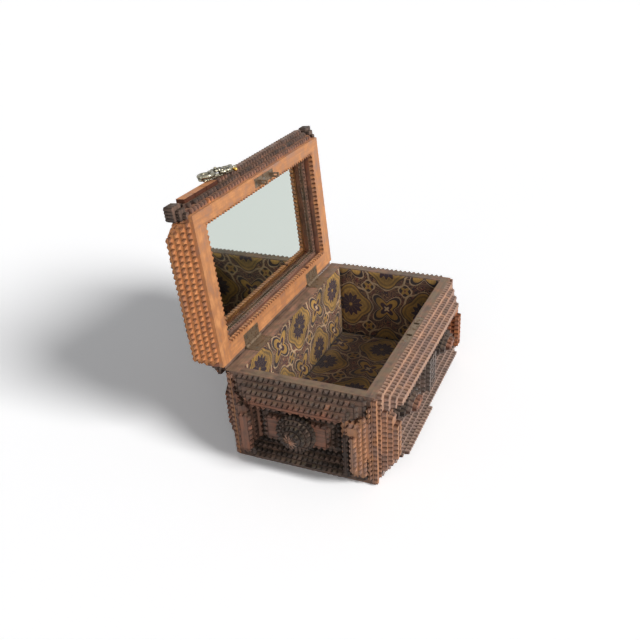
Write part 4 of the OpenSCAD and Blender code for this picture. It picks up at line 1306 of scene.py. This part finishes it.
def ornament_piece(name, beads, voxel, material):
    """Melts beads in the ornament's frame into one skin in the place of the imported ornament."""
    shape = bmesh.new()
    for at, size in beads:
        matrix = Matrix.Translation(Vector(at)) @ Matrix.Diagonal((*size, 1.0))
        bmesh.ops.create_icosphere(shape, subdivisions=2, radius=1.0, matrix=matrix)
    mesh = bpy.data.meshes.new(name)
    shape.to_mesh(mesh)
    shape.free()
    worker = placed(name + ".cast", mesh)
    melt = worker.modifiers.new("melt", "REMESH")
    melt.mode = "VOXEL"
    melt.voxel_size = voxel
    relax = worker.modifiers.new("relax", "SMOOTH")
    relax.factor = 0.5
    relax.iterations = 2
    skin = plain_mesh(worker, name)
    xs, ys, zs = closed_steps("pull_ornament")
    centre = Vector(((xs[0] + xs[-1]) / 2, ys[-1], (zs[0] + zs[-1]) / 2))
    upright = Matrix(((1, 0, 0), (0, 0, -1), (0, 1, 0))).to_4x4()
    tipped = Matrix.Rotation(ORNAMENT_TIP, 4, "Z") @ Matrix.Scale(ORNAMENT_SCALE, 4)
    skin.transform(to_open @ Matrix.Translation(centre) @ upright @ tipped)
    skin.shade_smooth()
    skin.materials.clear()
    skin.materials.append(material)
    return riding(name, skin, "lid")


def cast_metal(name, bright, dark):
    """A metal that is dark in the hollows of its skin."""
    material = metal(name, bright, dark, 0.35, 500.0, (0.28, 0.5), bump=0.1)
    wire = Wires(material.node_tree)
    into = wire.tree.nodes["Principled BSDF"].inputs["Base Color"]
    ridge = wire.step(wire.add("ShaderNodeNewGeometry").outputs["Pointiness"], HOLLOW, RIDGE)
    wire.feed(into, wire.mix(ridge, colour(*dark), into.links[0].from_socket))
    return material


white_metal = cast_metal("cast white metal", (186, 180, 158), (40, 36, 30))
brass = cast_metal("bright brass", (226, 186, 96), (120, 88, 40))
ornament = ornament_piece("cast_scroll", cast_beads(), CAST_VOXEL, white_metal)
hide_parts("pull_ornament")
drop = ornament_piece("brass_drop", DROP, DROP_VOXEL, brass)
print("ornament faces:", len(ornament.data.polygons), len(drop.data.polygons))

# %% [markdown]
# The domed bosses end in a star of chip-cut rays. One ray is a narrow ridge, and the star is twelve of
# them round the middle of the top disc.

# %% Stars on the bosses
RAYS = 12
STAR_OUT, STAR_IN, STAR_HIGH = 7.6 * MM, 1.7 * MM, 1.6 * MM
star_wood = wood("star wood", "z", stain=0.46, mottle=0.3, dust=0.2)


def boss_star(node, name, sign):
    low, high = (np.array(c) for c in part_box(node))
    top = high[0] if sign > 0 else low[0]
    middle = (low + high) / 2
    n = 2 * RAYS
    turn = np.arange(n) * math.pi / RAYS
    reach = np.where(np.arange(n) % 2, STAR_IN, STAR_OUT)
    ring = [(top, middle[1] + r * math.cos(t), middle[2] + r * math.sin(t)) for r, t in zip(reach, turn)]
    apex = (top + sign * STAR_HIGH, middle[1], middle[2])
    slopes = [(i, (i + 1) % n, n) for i in range(n)]
    mesh = bpy.data.meshes.new(name)
    mesh.from_pydata(ring + [apex], [], slopes + [tuple(range(n))])
    face_outwards(mesh)
    mesh.materials.append(star_wood)
    riding(name, mesh, "case")


boss_star("left_boss", "star_left", -1)
boss_star("right_boss", "star_right", 1)
print("stars of", RAYS, "rays")

# %% [markdown]
# Last, the size of the dressed model is printed, to go with the imported model's size printed at the
# start.

# %% Print the dressed size
low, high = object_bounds()
print("visual box, mm:", in_mm(b - a for a, b in zip(low, high)))
